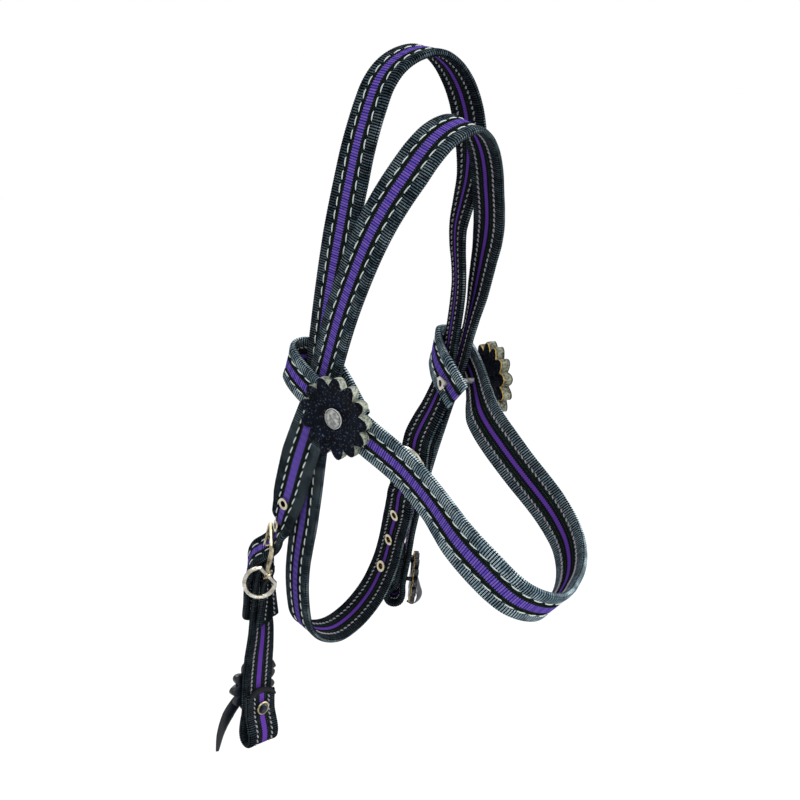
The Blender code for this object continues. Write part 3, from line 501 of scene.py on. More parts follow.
end = in_place(THROAT, -BUCKLE_WINDOW / 2, -loop_radius())
line = smoothed([end] + loop_round(THROAT, loop_radius(), 1) + [upper]
                + stations(THROAT_UP_SHARES) + billet_path(THROAT))
THROAT_LINE = line + doubled(line, upper, THROAT_TAIL_LENGTH, -LAYER_PITCH - TAIL_SLACK)
print("the throat strap has", len(THROAT_LINE), "rows")

# %% [markdown]
# The browband's front runs from the near knot to the far one. Each end passes outside the
# legs, turns round behind them and comes forward again inside them.

# %% The browband's route
NEAR_TAIL_SHARES = (
    (-0.455, 0.29, -1.68, 0, -0.68, 0.73), (-0.447, 0.4, -1.58, 0, -0.62, 0.78),
    (-0.441, 0.55, -1.45, 0, -0.5, 0.87),
)
BROWBAND_SHARES = (
    (-0.594, 0.6, -1.505, 0, -0.42, 0.9), (-0.583, 0.45, -1.58, 0.02, -0.44, 0.89),
    (-0.545, 0.32, -1.64, 0.05, -0.46, 0.88), (-0.5, 0.13, -1.74, 0.07, -0.48, 0.87),
    (-0.45, -0.07, -1.85, 0.04, -0.49, 0.87), (-0.44, -0.34, -2.01, 0.09, -0.49, 0.86),
    (-0.47, -0.54, -2.12, 0.25, -0.5, 0.82), (-0.45, -0.73, -2.24, 0.34, -0.5, 0.8),
    (-0.35, -0.88, -2.39, 0.27, -0.56, 0.79), (-0.15, -0.94, -2.49, 0.23, -0.61, 0.76),
    (0.06, -0.87, -2.5, 0.24, -0.63, 0.74), (0.26, -0.76, -2.47, 0.23, -0.62, 0.74),
    (0.41, -0.6, -2.38, 0.25, -0.62, 0.74), (0.45, -0.42, -2.24, 0.38, -0.61, 0.7),
    (0.4, -0.26, -2.07, 0.46, -0.57, 0.68), (0.36, -0.08, -1.89, 0.52, -0.53, 0.66),
    (0.4, 0.12, -1.75, 0.45, -0.53, 0.72), (0.505, 0.27, -1.64, 0.15, -0.48, 0.86),
    (0.575, 0.37, -1.58, 0, -0.45, 0.89),
)
FAR_TAIL_SHARES = (
    (0.428, 0.565, -1.49, 0, -0.4, 0.92), (0.358, 0.43, -1.55, 0, -0.55, 0.83),
    (0.35, 0.36, -1.61, 0, -0.62, 0.78), (0.345, 0.285, -1.68, 0, -0.7, 0.71),
)
WRAP_RISE = 0.004
NEAR_WRAP_RADIUS = 0.00765
FAR_WRAP_RADIUS = 0.0102
NEAR_WRAP = placed(at((-0.518, 0.763, -1.388)), (0.0, 0.92, 0.4), (0.0, -0.4, 0.92))
FAR_WRAP = placed(at((0.588, 0.612, -1.459)), (0.57, 0.78, 0.27), (-0.05, -0.3, 0.95))
BROWBAND_LINE = smoothed(
    stations(NEAR_TAIL_SHARES) + wrap_round(NEAR_WRAP, NEAR_WRAP_RADIUS, WRAP_RISE)
    + stations(BROWBAND_SHARES) + wrap_round(FAR_WRAP, FAR_WRAP_RADIUS, -WRAP_RISE)
    + stations(FAR_TAIL_SHARES))
print("the browband has", len(BROWBAND_LINE), "rows")

# %% [markdown]
# The weave needs far closer rows: a rib of the rolled edge is a millimetre and a half long and
# takes three. The same cubics are read again and cut into equal steps, so the ribs stay evenly
# spaced in bends too.

# %% A strap's fine line
RIB = 1.5 * MM
ROWS_PER_RIB = 3
ROW_STEP = RIB / ROWS_PER_RIB


def read_line(values, marks, at_marks):
    return np.stack([np.interp(at_marks, marks, values[:, axis]) for axis in range(3)], axis=1)


def unit(rows):
    return rows / np.linalg.norm(rows, axis=1, keepdims=True)


def fine_line(curve):
    """Equal steps along a coarse line: places, width directions, normals and distances."""
    close = drawn(curve, lambda chord, *_: max(2, math.ceil(chord / ROW_STEP)), lambda u: u)
    places, widths = (np.array(values) for values in zip(*close))
    along = np.concatenate([[0], np.cumsum(np.linalg.norm(np.diff(places, axis=0), axis=1))])
    marks = np.arange(int(along[-1] / ROW_STEP) + 1) * ROW_STEP
    spots, across = (read_line(values, along, marks) for values in (places, widths))
    runs = unit(np.gradient(spots, axis=0))
    across = unit(across - runs * np.sum(across * runs, axis=1, keepdims=True))
    return spots, across, np.cross(across, runs), marks


print("a rib every", round(RIB / MM, 1), "mm")

# %% [markdown]
# Every strap, stitch, rosette and ring is a grid of points that closes on itself across, so
# one function lists its faces and another makes the piece. A piece that takes the place of a
# solid rides on the solid's own body.

# %% Meshes from points
def tube_faces(rows, around, closed=False):
    """The quads of a grid that closes on itself across, with end caps unless it's closed."""
    faces = []
    for row in range(rows if closed else rows - 1):
        after = (row + 1) % rows
        for column in range(around):
            follow = (column + 1) % around
            faces.append((row * around + column, row * around + follow,
                          after * around + follow, after * around + column))
    if not closed:
        faces.append(tuple(range(around))[::-1])
        faces.append(tuple(range((rows - 1) * around, rows * around)))
    return faces


def mesh_piece(name, points, faces, finishes, sharp=60):
    mesh = bpy.data.meshes.new(name)
    mesh.from_pydata([tuple(point) for point in points], [], faces)
    mesh.validate()
    for finish in finishes:
        mesh.materials.append(finish)
    mesh.shade_smooth()
    mesh.set_sharp_from_angle(angle=math.radians(sharp))
    return shown(name, mesh)


DRESSED = []


def dress(piece, body, node):
    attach(piece, body)
    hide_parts(node)
    DRESSED.append(node)


print("a tube of 3 rows and 4 sides has", len(tube_faces(3, 4)), "faces")

# %% [markdown]
# The strap's section has round rolls at both edges, a groove beside each where the stitches
# pull it down, and a tape with the stripe a little proud. Each point says how far it takes part
# in the ribs: a bump map could fake them on the flat, but real ribs also notch the outline.

# %% The section of the webbing
HALF = WEB_WIDTH / 2
FACE = WEB_THICKNESS / 2
# From the edge's middle over one face to the strap's middle: millimetres across, share of
# the thickness, and how many millimetres of the rib it takes
HALF_SECTION_SHARES = (
    (12.5, 0, 0.16), (12.24, 0.5, 0.16), (11.5, 0.87, 0.16), (10.6, 1, 0.16), (9.4, 1, 0.15),
    (8.2, 0.97, 0.15), (7.1, 0.91, 0.13), (6.4, 0.76, 0.07), (5.7, 0.7, 0), (5.1, 0.8, 0.03),
    (4.2, 0.87, 0.05), (3, 0.89, 0.04), (1.5, 0.91, 0.04), (0, 0.91, 0.04),
)


def whole_section():
    """The closed section, with the direction in which each point rises with a rib."""
    side = [(across * MM, up * FACE, rib * MM) for across, up, rib in HALF_SECTION_SHARES]
    top = side + [(-x, y, rib) for x, y, rib in reversed(side[:-1])]
    under = [(x, -y, rib) for x, y, rib in reversed(top[1:-1])]
    section = np.array(top + under)
    lean = np.clip(np.abs(section[:, 0]) - (HALF - FACE), 0, None) * np.sign(section[:, 0])
    out = np.stack([lean, section[:, 1]], axis=1)
    out /= np.maximum(np.linalg.norm(out, axis=1, keepdims=True), 1e-9)
    return section, out


SECTION, SECTION_OUT = whole_section()
print("points round the section:", len(SECTION))

# %% [markdown]
# Skinning the section along the fine line makes the strap. Round ends draw in, and square ones
# thin out a little. For the weave's colours every point keeps how far it is along, across and
# from the bare ends, in millimetres, how bright its painted rib highlight and worn dots are, and
# whether its face is patterned.

# %% Weaving one strap
TIP_LENGTH = 0.009
END_THINNING = 1.4 * MM
# Near a strap's ends its painted rib highlight and worn dots are dimmer
END_STRETCH = 130 * MM
END_FADE = 60 * MM
RIB_RISE_SHARES = (-1.0, 0.35)


def end_shares(marks, round_ends):
    """The share of the width and of the thickness that is left in each row."""
    width, thick = np.ones(len(marks)), np.ones(len(marks))
    for distance, is_round in ((marks, round_ends[0]), (marks[-1] - marks, round_ends[1])):
        reach = np.clip(1 - distance / TIP_LENGTH, 0, 1)
        if is_round:
            width = np.minimum(width, np.sqrt(np.clip(1 - 0.97 * reach ** 2, 0.03, 1)))
        near = np.clip(1 - distance / END_THINNING, 0, 1)
        thick = np.minimum(thick, np.sqrt(np.clip(1 - 0.9 * near ** 2, 0.05, 1)))
    return width, thick


def keep(piece, name, values):
    stored = piece.data.attributes.new(name, "FLOAT", "POINT")
    stored.data.foreach_set("value", values.astype(np.float32))


def weave(name, curve, round_ends, looks, wear, bare, finish):
    """A strap: `looks` is 1 for a patterned face and -1 for a plain one, `bare` the stripeless ends."""
    spots, across, normals, marks = fine_line(curve)
    width, thick = end_shares(marks, round_ends)
    rise = np.where(np.arange(len(marks)) % ROWS_PER_RIB == 0, *RIB_RISE_SHARES)
    swell = SECTION[:, 2] * rise[:, None]
    x = SECTION[:, 0] * width[:, None] + SECTION_OUT[:, 0] * swell * width[:, None]
    y = SECTION[:, 1] * thick[:, None] + SECTION_OUT[:, 1] * swell * thick[:, None]
    points = spots[:, None] + across[:, None] * x[:, :, None] + normals[:, None] * y[:, :, None]
    around = len(SECTION)
    piece = mesh_piece(name, points.reshape(-1, 3), tube_faces(len(marks), around), [finish], 180)
    inset = np.minimum(marks - bare[0], marks[-1] - bare[1] - marks)
    keep(piece, "along", np.repeat(marks / MM, around))
    keep(piece, "across", np.tile(SECTION[:, 0] / MM, len(marks)))
    keep(piece, "inset", np.repeat(inset / MM, around))
    # The worn level sets how bright the painted rib highlight and the worn dots are, and falls to its end
    # share near the ends
    worn, plain_stripe, end_share = wear
    middle = np.clip((np.minimum(marks, marks[-1] - marks) - END_STRETCH) / END_FADE, 0.0, 1.0)
    keep(piece, "worn", np.repeat(worn * (end_share + (1 - end_share) * middle), around))
    keep(piece, "plain_stripe", np.full(len(marks) * around, plain_stripe))
    keep(piece, "outer", np.tile(np.where(SECTION[:, 1] > 0, looks[0], looks[1]), len(marks)))
    print(piece.name, "is", round(float(marks[-1]) / MM), "mm long,", len(piece.data.polygons), "faces")
    return piece, (spots, across, normals, marks)


print("a strap wears less within", round(END_STRETCH / MM), "mm of its ends")

# %% [markdown]
# The rolled edges are black yarn whose rib tops carry a painted highlight, some more than others
# by luck, dimmer on a plain inner face as painted shade; pale dots on them are worn yarn and
# painted highlight. The tape is black and finely ribbed, with a trace of green. Its stripe changes
# between two purples on a patterned face, with a stepped border and lilac threads that a painted
# highlight brightens on the rib tops, and is narrow and even on a plain one. All of it is a
# formula of the numbers that each point keeps.

# %% Webbing finish
# In millimetres: the tape's small ribs, the bands of the two purples, the dots of wear and
# painted highlight across an edge, the cells across the stripe, the green hems and the border of
# the tape
FINE_RIB = 0.75
BAND = 4.8
DOT = 0.8
CELL = 0.7
HEMS = (3.3, 4.9)
TAPE_BORDER = (5.5, 6.3)


def ridges(distance, pitch):
    """0 at each whole pitch and 1 halfway between."""
    return 1 - abs((distance / pitch) % 1 * 2 - 1)


def webbing_finish():
    finish = Finish("webbing", Specular_IOR_Level=0.0)

    def kept(name):
        return finish.node("ShaderNodeAttribute", {"attribute_name": name}, {}, "Fac")

    along, across = kept("along"), abs(kept("across"))
    inset, outer = kept("inset"), finish.step(kept("outer"), -0.3, 0.3)
    rib, fine = ridges(along, RIB / MM), ridges(along, FINE_RIB)
    row, cell = ridges(across, DOT), ridges(across, CELL)
    yarn = finish.noise(2400.0, 2.0)
    patch = finish.noise(70.0)
    top = finish.step(rib, 0.3, 0.8)
    wear = finish.step(patch, 0.42, 0.62) * (outer * 0.7 + 0.15)
    tuft = finish.step(finish.noise(620.0, 2.0), 0.36, 0.62)
    number = along / (RIB / MM) - (along / (RIB / MM)) % 1
    luck = finish.node("ShaderNodeTexWhiteNoise", {"noise_dimensions": "1D"}, {"W": number})
    # Painted highlight on the rib tops, as bright as the strap's worn level, dimmer on a plain inner face
    # as painted shade
    painted_rib_highlight = top * (yarn * 0.4 + tuft * 0.7) * (luck * 1.3 + 0.3) * (outer * 0.6 + 0.3) * kept("worn")
    margin = finish.mix(painted_rib_highlight, shade(1, 2, 5), shade(88, 112, 127))
    # Pale dots on the rib tops: worn yarn in the worn patches, and painted highlight
    worn_dots_and_highlight = top * finish.step(row * yarn, 0.22, 0.42) * (wear * 0.7 + 0.12) * kept("worn")
    margin = finish.mix(worn_dots_and_highlight, margin, shade(200, 220, 226))
    inner_hem, outer_hem = (finish.step(0.5 - abs(across - place), 0.0, 0.3) for place in HEMS)
    tape = finish.mix(fine * yarn * 0.8, shade(1, 2, 4), shade(44, 50, 56))
    knots = (inner_hem + outer_hem) * finish.step(fine, 0.3, 0.9) * finish.step(yarn, 0.46, 0.6)
    tape = finish.mix(knots * 0.55, tape, shade(78, 112, 66))
    band = finish.step(abs((along / BAND) % 1 * 2 - 1) + yarn * 0.3, 0.4, 0.85)
    purple = finish.mix(band * 0.8, shade(54, 43, 144), shade(100, 72, 164))
    purple = finish.mix(outer, shade(84, 50, 138), purple)
    purple = finish.mix(finish.step(1 - rib, 0.5, 0.95) * (outer * 0.7 + 0.1), purple, shade(30, 20, 92))
    # Lilac threads on the stripe's rib tops, brightened as a painted highlight
    lilac = top * finish.step(cell * yarn, 0.2, 0.42) * (outer * 0.6 + 0.08)
    purple = finish.mix(lilac, purple, shade(164, 138, 204))
    border = finish.step(rib, 0.4, 0.6) * 0.4 + outer * 2.3 + kept("plain_stripe") * (1 - outer)
    stripe = finish.step(border - across, -0.1, 0.12) * finish.step(inset, 0.0, 1.5)
    woven = finish.mix(finish.step(across, *TAPE_BORDER), finish.mix(stripe, tape, purple), margin)
    return finish.surface(woven, yarn * 0.25 + 0.6, fine * 0.4 + yarn * 0.6, 0.12)


WEBBING = webbing_finish()
print("webbing finish of", len(WEBBING.node_tree.nodes), "nodes")

# %% [markdown]
# Stitches are what the eye reads first on black webbing. Outside, long pale ones with short
# gaps lean across their row; inside, the other thread makes short, fat, greyish ones. Painted
# stitches would lie flat, so each is a small bent rod that dives into the webbing at both ends.

# %% Stitches
STITCH_SIDES = 5
STITCH_ROWS = 7
STITCH_START = 2 * MM
# Each stitch: its row's distance from the strap's middle, its pitch, its length, its
# thread's radius and its lean across the row
OUTER_STITCH = (5.7 * MM, 7.6 * MM, 6.3 * MM, 0.4 * MM, 0.6 * MM)
INNER_STITCH = (6.2 * MM, 3.4 * MM, 2.9 * MM, 0.58 * MM, 1.0 * MM)


def thread_finish(name, light, dark, gloss=0.3, rough=0.55, scale=3000.0, detail=1.0, depth=0.08):
    finish = Finish(name, Specular_IOR_Level=gloss)
    twist = finish.noise(scale, detail)
    return finish.surface(finish.mix(twist, dark, light), rough, twist, depth)


def stitch_rows(name, line, side, stitch, finish):
    """Two rows of stitches on one face of a strap, as one mesh."""
    middle, pitch, length, radius, slant = stitch
    spots, across, normals, marks = line
    turn = np.arange(STITCH_SIDES) / STITCH_SIDES * 2 * math.pi
    share = np.linspace(0, 1, STITCH_ROWS)
    belly = np.sin(share * math.pi) ** 0.5
    height = FACE * 0.7 + radius * (1.7 * belly - 0.9)
    slim = radius * (0.55 + 0.45 * belly)
    points, faces = [], []
    for row in (middle, -middle):
        shift = pitch * 0.35 if row > 0 else 0
        for start in np.arange(STITCH_START, marks[-1] - STITCH_START - length, pitch) + shift:
            at_marks = start + share * length
            place, wide, up = (read_line(part, marks, at_marks)
                               for part in (spots, across, normals * side))
            lean = slant * (share - 0.5)
            centre = place + wide * (row + lean[:, None]) + up * height[:, None]
            first = len(points)
            for index in range(STITCH_ROWS):
                points.extend(centre[index] + wide[index] * np.cos(turn)[:, None] * slim[index]
                              + up[index] * np.sin(turn)[:, None] * slim[index])
            faces += [tuple(first + corner for corner in face)
                      for face in tube_faces(STITCH_ROWS, STITCH_SIDES)]
    print(name, "has", len(points) // (STITCH_ROWS * STITCH_SIDES), "stitches")
    return mesh_piece(name, points, faces, [finish], 180)


PALE_THREAD = thread_finish("pale_thread", shade(240, 246, 242), shade(168, 180, 180))
GREY_THREAD = thread_finish("grey_thread", shade(180, 176, 186), shade(84, 80, 94))
print("outer stitches every", round(OUTER_STITCH[1] / MM, 1), "mm")

# %% [markdown]
# An eyelet is only real if light passes through it. The weave is fine enough to leave out the
# faces inside each rim, and the metal hides the ragged border, as a real eyelet does.

# %% Weave the four straps
EYELET_OPENING = 4.1 * MM
NOT_BARE = (-1.0, -1.0)
# Each strap: its body, its line, which ends are round, whether its two faces are patterned (1)
# or plain (-1), how bright the painted highlight and worn dots on its rib tops are, the half width
# of its plain stripe and the share of that brightness that is left near its ends, and how far the
# stripe keeps from each end, in metres
STRAPS = {
    "headpiece": ("bridle", HEADPIECE_LINE, (True, False), (1, -1), (0.65, 1.1, 0.45), (0.026, -1.0)),
    "throat_strap": ("bridle", THROAT_LINE, (False, True), (-1, 1), (0.4, 1.1, 1.0), NOT_BARE),
    "browband": ("bridle", BROWBAND_LINE, (False, False), (-1, 1), (2.5, 1.1, 0.85), NOT_BARE),
    "bit_hanger": ("near_hanger", HANGER_LINE, (False, False), (-1, -1), (0.45, 1.8, 1.0), (0.036, -1.0)),
}


def open_eyelets(piece, nodes):
    mesh = bmesh.new()
    mesh.from_mesh(piece.data)
    gone = []
    for node in nodes:
        low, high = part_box(node)
        centre = (low + high) / 2
        gone += [face for face in mesh.faces
                 if all((corner.co - centre).length < EYELET_OPENING for corner in face.verts)]
    bmesh.ops.delete(mesh, geom=list(set(gone)), context="FACES")
    mesh.to_mesh(piece.data)
    mesh.free()


def strap_piece(node, body, curve, round_ends, looks, wear, bare):
    piece, line = weave(node + "_weave", curve, round_ends, looks, wear, bare, WEBBING)
    dress(piece, body, node)
    for side, look in zip((1, -1), looks):
        stitch, thread = (OUTER_STITCH, PALE_THREAD) if look > 0 else (INNER_STITCH, GREY_THREAD)
        name = node + ("_stitches_above" if side > 0 else "_stitches_below")
        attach(stitch_rows(name, line, side, stitch, thread), body)
    return piece


straps = {node: strap_piece(node, *facts) for node, facts in STRAPS.items()}
for node, numbers in (("headpiece", "12"), ("throat_strap", "123")):
    open_eyelets(straps[node], [node + "_eyelet_" + number for number in numbers])
print("four straps with", sum(len(strap.data.polygons) for strap in straps.values()), "faces")

# %% [markdown]
# The rosettes are thick leather: a black polished face over a raw side that shows round the
# petals as a tan-green edge full of pits; on the far one that edge is a darker copy, as painted
# shade, over a warm yellow line. The small rosettes and the ties are of a thinner black leather
# that shines more.

# %% Leather finishes
def black_leather():
    finish = Finish("black_leather", Specular_IOR_Level=0.04)
    grain = finish.node("ShaderNodeTexVoronoi", {}, {"Vector": finish.place(), "Scale": 1300.0})
    cloud = finish.noise(130.0)
    speck = finish.step(finish.noise(800.0), 0.56, 0.7)
    base = finish.mix(finish.step(cloud, 0.3, 0.7), shade(2, 4, 10), shade(9, 15, 27))
    colour = finish.mix(speck * cloud, base, shade(88, 98, 116))
    return finish.surface(colour, cloud * 0.3 + 0.35, grain * 0.5 + cloud * 1.5, 0.3)


def raw_edge_leather(name, low, high):
    finish = Finish(name, Specular_IOR_Level=0.2)
    fibre = finish.noise(700.0, 4.0)
    pits = finish.step(finish.noise(900.0, 1.0), 0.6, 0.7)
    stain = finish.noise(190.0)
    base = finish.mix(finish.step(fibre * 0.5 + stain * 0.5, 0.36, 0.62), low, high)
    colour = finish.mix(pits * 0.75, base, shade(50, 52, 42))
    return finish.surface(colour, fibre * 0.3 + 0.6, fibre - pits, 0.3)


def shiny_leather():
    finish = Finish("shiny_leather", Specular_IOR_Level=0.4)
    cloud = finish.noise(220.0)
    colour = finish.mix(cloud, shade(2, 4, 9), shade(14, 23, 38))
    return finish.surface(colour, cloud * 0.3 + 0.22, cloud, 0.15)


BLACK_LEATHER = black_leather()
SHINY_LEATHER = shiny_leather()
RAW_EDGE = raw_edge_leather("raw_edge", shade(80, 86, 74), shade(170, 176, 162))
# The far rosette's raw edge, made darker as painted shade
SHADED_RAW_EDGE = raw_edge_leather("shaded_raw_edge", shade(52, 54, 46), shade(140, 142, 124))
WARM_EDGE = raw_edge_leather("warm_edge", shade(140, 108, 44), shade(214, 182, 104))
print("five leather finishes")

# %% [markdown]
# A rosette is one section turned round its axis, and a cosine pulls it in between the petals.
# Each ring has a finish: the face, the wall, the thin step of the knife, or the back.

# %% Rosettes
ROSETTE_RADIUS = 0.025
ROSETTE_THICKNESS = 0.007
ROSETTE_PETALS = 13
ROSETTE_SCALLOP_SHARE = 0.24
ROSETTE_LIFT = 0.0009
PETAL_STEPS = 16
NICK_SHARES = (-0.008, 0.004)
# Every ring of the turned section: share of the radius, share of the thickness, finish
ROSETTE_RING_SHARES = (
    (0, 0.72, 0), (0.2, 0.7, 0), (0.36, 0.67, 0), (0.5, 0.74, 0), (0.62, 0.82, 0), (0.75, 0.92, 0),
    (0.86, 0.97, 0), (0.93, 0.99, 0), (0.975, 0.97, 0), (0.995, 0.93, 0), (1, 0.88, 1), (0.985, 0.86, 1),
    (0.995, 0.8, 1), (1, 0.5, 1), (0.99, 0.17, 1), (0.975, 0.14, 2), (0.985, 0.1, 2), (0.965, 0.03, 3),
    (0.9, 0, 3), (0.5, 0, 3), (0, 0, 3),
)


def rosette_piece(node, body, place, radius, thickness, petals, depth, finishes):
    around = petals * PETAL_STEPS
    shaky = random.Random(node + "_leather")
    nicks = [shaky.uniform(*NICK_SHARES) for _ in range(around)]
    points = []
    for share, height, part in ROSETTE_RING_SHARES:
        for step in range(around):
            angle = 2 * math.pi * step / around
            dip = 1 - abs(math.cos(petals * angle / 2))
            reach = radius * share * (1 - depth * dip * share ** 3)
            reach *= 1 + (nicks[step] if part in (1, 2) else 0)
            sag = 0.04 * dip * share ** 4 * (height > 0.5)
            points.append((reach * math.cos(angle), reach * math.sin(angle), thickness * (height - sag)))
    faces = tube_faces(len(ROSETTE_RING_SHARES), around)[:-2]
    piece = mesh_piece(node + "_leather", points, faces, finishes, 42)
    for face in piece.data.polygons:
        face.material_index = ROSETTE_RING_SHARES[face.index // around][2]
    piece.matrix_world = place
    dress(piece, body, node)


SCREW_PLACES = {"near": facing(at((-0.577, 0.32, -1.61)), (-0.975, -0.218, -0.026), (0, 0, 1)),
                "far": facing(at((0.606, 0.298, -1.61)), (0.94, -0.34, -0.03), (0, 0, 1))}
# The far rosette's wall is the raw edge darkened as painted shade
for side, wall, line in (("near", RAW_EDGE, RAW_EDGE), ("far", SHADED_RAW_EDGE, WARM_EDGE)):
    rosette_piece("rosette_" + side, side + "_rosette",
                  SCREW_PLACES[side] @ Matrix.Translation((0, 0, ROSETTE_LIFT)),
                  ROSETTE_RADIUS, ROSETTE_THICKNESS, ROSETTE_PETALS, ROSETTE_SCALLOP_SHARE,
                  [BLACK_LEATHER, wall, line, BLACK_LEATHER])
print("two rosettes of", ROSETTE_PETALS, "petals")

# %% [markdown]
# The small rosettes behind the bit loops are thinner and nearly all black. Each is screwed to
# its strap, so its place comes from the strap's own row at that height.

# %% Small rosettes
BIT_ROSETTE_RADIUS = 0.0195
BIT_ROSETTE_THICKNESS = 0.004
BIT_ROSETTE_SCALLOP_SHARE = 0.26
# Each bit end: its body, its strap, the shares of the strap between which its row is looked
# for, the side of the strap, the heights of rosette and stud, and the rosette's lift
BIT_ENDS = {
    "near": ("near_hanger", HANGER_LINE, 0.35, 0.8, 1, -3.86, -3.99, 0.0),
    "far": ("bridle", HEADPIECE_LINE, 0.6, 0.92, -1, -3.25, -3.27, 0.0036),
}


def bit_row(side, height_share):
    """The row of a bit end's strap at a height."""
    _, curve, first, last, *_ = BIT_ENDS[side]
    span = framed(curve)[int(len(curve) * first):int(len(curve) * last)]
    height = ROUTE_UNIT * height_share
    for low, high in zip(span, span[1:]):
        if (low[0].z - height) * (high[0].z - height) <= 0:
            blend = (height - low[0].z) / (high[0].z - low[0].z)
            return tuple(a.lerp(b, blend) for a, b in zip(low, high))


for side, petals, core in (("near", 11, SHINY_LEATHER), ("far", 13, WARM_EDGE)):
    body, _, _, _, turn, height_share, _, lift = BIT_ENDS[side]
    point, _, normal, run = bit_row(side, height_share)
    out = -normal * turn
    rosette_piece("bit_rosette_" + side, body,
                  facing(point + out * (WEB_THICKNESS / 2 + FIT_GAP + lift), out, -run),
                  BIT_ROSETTE_RADIUS, BIT_ROSETTE_THICKNESS, petals, BIT_ROSETTE_SCALLOP_SHARE,
                  [SHINY_LEATHER, SHINY_LEATHER, core, SHINY_LEATHER])
print("two small rosettes of", round(BIT_ROSETTE_RADIUS / MM, 1), "mm radius")

# %% [markdown]
# A flat ribbon would catch the light all at once, so a tie's section is a low lens, and it is
# drawn to a point. The far tie curls back under its rosette, unlike the frame's plain one.

# %% Ties
TIE_WIDTH = 0.006
TIE_THICKNESS = 0.002
TIE_SPREAD = 0.85
NEAR_TIE_SHARES = (
    (-0.41, 1.375, -3.8, -0.34, 0.05, 0.94), (-0.52, 1.38, -3.84, -0.4, 0.05, 0.92),
    (-0.65, 1.38, -3.92, -0.55, 0.05, 0.83), (-0.8, 1.375, -4.03, -0.75, 0.05, 0.66),
    (-0.89, 1.37, -4.17, -0.9, 0.05, 0.43), (-0.93, 1.365, -4.3, -0.95, 0.05, 0.3),
)
FAR_CURL_SHARES = (
    (0.592, 1.054, -3.123), (0.615, 1.001, -3.169), (0.594, 0.966, -3.265), (0.588, 0.925, -3.347),
    (0.58, 0.893, -3.406), (0.535, 0.91, -3.463), (0.506, 0.956, -3.447),
)
CURL_WIDTH = Vector((0.85, 0.3, -0.2))
LENS = [(math.cos(turn * math.pi / 6), math.sin(turn * math.pi / 6)) for turn in range(12)]


def tie_piece(node, line, body):
    spots, across, normals, marks = fine_line(line)
    left = 1 - marks / marks[-1]
    wide = TIE_WIDTH * TIE_SPREAD * np.clip(0.25 + 1.9 * left ** 0.9, 0, 1)
    wide = wide * (1 - 0.35 * np.clip((left - 0.75) / 0.25, 0, 1))
    thick = TIE_THICKNESS / 2 * np.clip(0.35 + left, 0, 1)
    points = []
    for index in range(0, len(marks), 2):
        for x, y in LENS:
            points.append(spots[index] + across[index] * x * wide[index]
                          + normals[index] * y * thick[index])
    rows = len(points) // len(LENS)
    piece = mesh_piece(node + "_strip", points, tube_faces(rows, len(LENS)), [SHINY_LEATHER])
    dress(piece, body, node)
    print(node, "is", round(float(marks[-1]) / MM), "mm long")


tie_piece("tie_near", smoothed(stations(NEAR_TIE_SHARES)), "near_hanger")
tie_piece("tie_far", smoothed([(at(spot), CURL_WIDTH.normalized()) for spot in FAR_CURL_SHARES]), "bridle")

# %% [markdown]
# The end of the folded webbing on each bit loop is bound: a short roll of the same yarn lies
# across the strap, arched over the layer it closes. It hides the cut end.

# %% Bound ends
BINDING_RADIUS = 2 * MM
BINDING_STEPS = 33
BINDING_SIDES = 10


def binding_piece(name, end, body, arch):
    """A ribbed roll across a strap's end, that falls by `arch` from its middle to its ends."""
    point, across, normal, run = end
    out = -normal if normal.dot(LOOK) > 0 else normal
    points = []
    for step in range(BINDING_STEPS):
        share = step / (BINDING_STEPS - 1) * 2 - 1
        centre = (point + across * share * (HALF - 0.4 * MM)
                  + run * (1 * MM - arch * share ** 2) + out * arch * 0.4 * share ** 2)
        rib = 1 + (0.06 if step % 2 else -0.06)
        fat = BINDING_RADIUS * rib * math.sqrt(max(0.08, 1 - 0.92 * abs(share) ** 8))
        for turn in range(BINDING_SIDES):
            angle = 2 * math.pi * turn / BINDING_SIDES
            points.append(centre + run * math.cos(angle) * fat + normal * math.sin(angle) * fat * 1.2)
    piece = mesh_piece(name, points, tube_faces(BINDING_STEPS, BINDING_SIDES), [BINDING], 180)
    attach(piece, body)


BINDING = thread_finish("black_yarn", shade(54, 56, 58), shade(6, 7, 9), 0.0, 0.7, 2200.0, 2.0, 0.1)
binding_piece("near_fold_binding", framed(HANGER_LINE)[-1], "near_hanger", 5 * MM)
binding_piece("far_fold_binding", framed(HEADPIECE_LINE)[-1], "bridle", 1 * MM)
print("two bound ends")

# %% [markdown]
# The metal pieces have the right shape, so they stay and only get a finish: nickel with bright
# and dull patches, pale yellow metal, or a dark cap. Fine scratches are a stretched noise.

# %% Plated metal
def plated(name, bright, dull, smooth, worn):
    finish = Finish(name, Metallic=1.0)
    cloud = finish.noise(180.0)
    stretch = {"Vector": finish.place(), "Scale": (900.0, 120.0, 2600.0)}
    turned = finish.node("ShaderNodeMapping", {}, stretch)
    scratch = finish.noise(1.0, 2.0, turned)
    spots = finish.step(finish.noise(620.0, 1.0), 0.62, 0.7)
    colour = finish.mix(finish.step(cloud, 0.35, 0.65), dull, bright)
    rough = cloud * 0.2 + scratch * 0.15 + smooth
    return finish.surface(finish.mix(spots * 0.5, colour, worn), rough, scratch * 0.4 + cloud, 0.02)


NICKEL = plated("nickel", shade(208, 206, 196), shade(156, 152, 138), 0.08, shade(120, 110, 90))
GILT = plated("gilt", shade(206, 196, 166), shade(146, 136, 110), 0.12, shade(84, 74, 54))
DARK_CAP = plated("dark_cap", shade(70, 76, 84), shade(26, 30, 36), 0.2, shade(120, 104, 70))
print("three plated metals")

# %% [markdown]
# An eyelet has a pale gilt rim round a throat, coppery on the throat strap and elsewhere black,
# painted shade where the hole is. A screw's head has a worn grey disc with painted shade in its
# small centre recess, a dark line and a rim brightened by a painted highlight. Both depend only
# on how far a point is from the piece's axis, which a cross product gives.

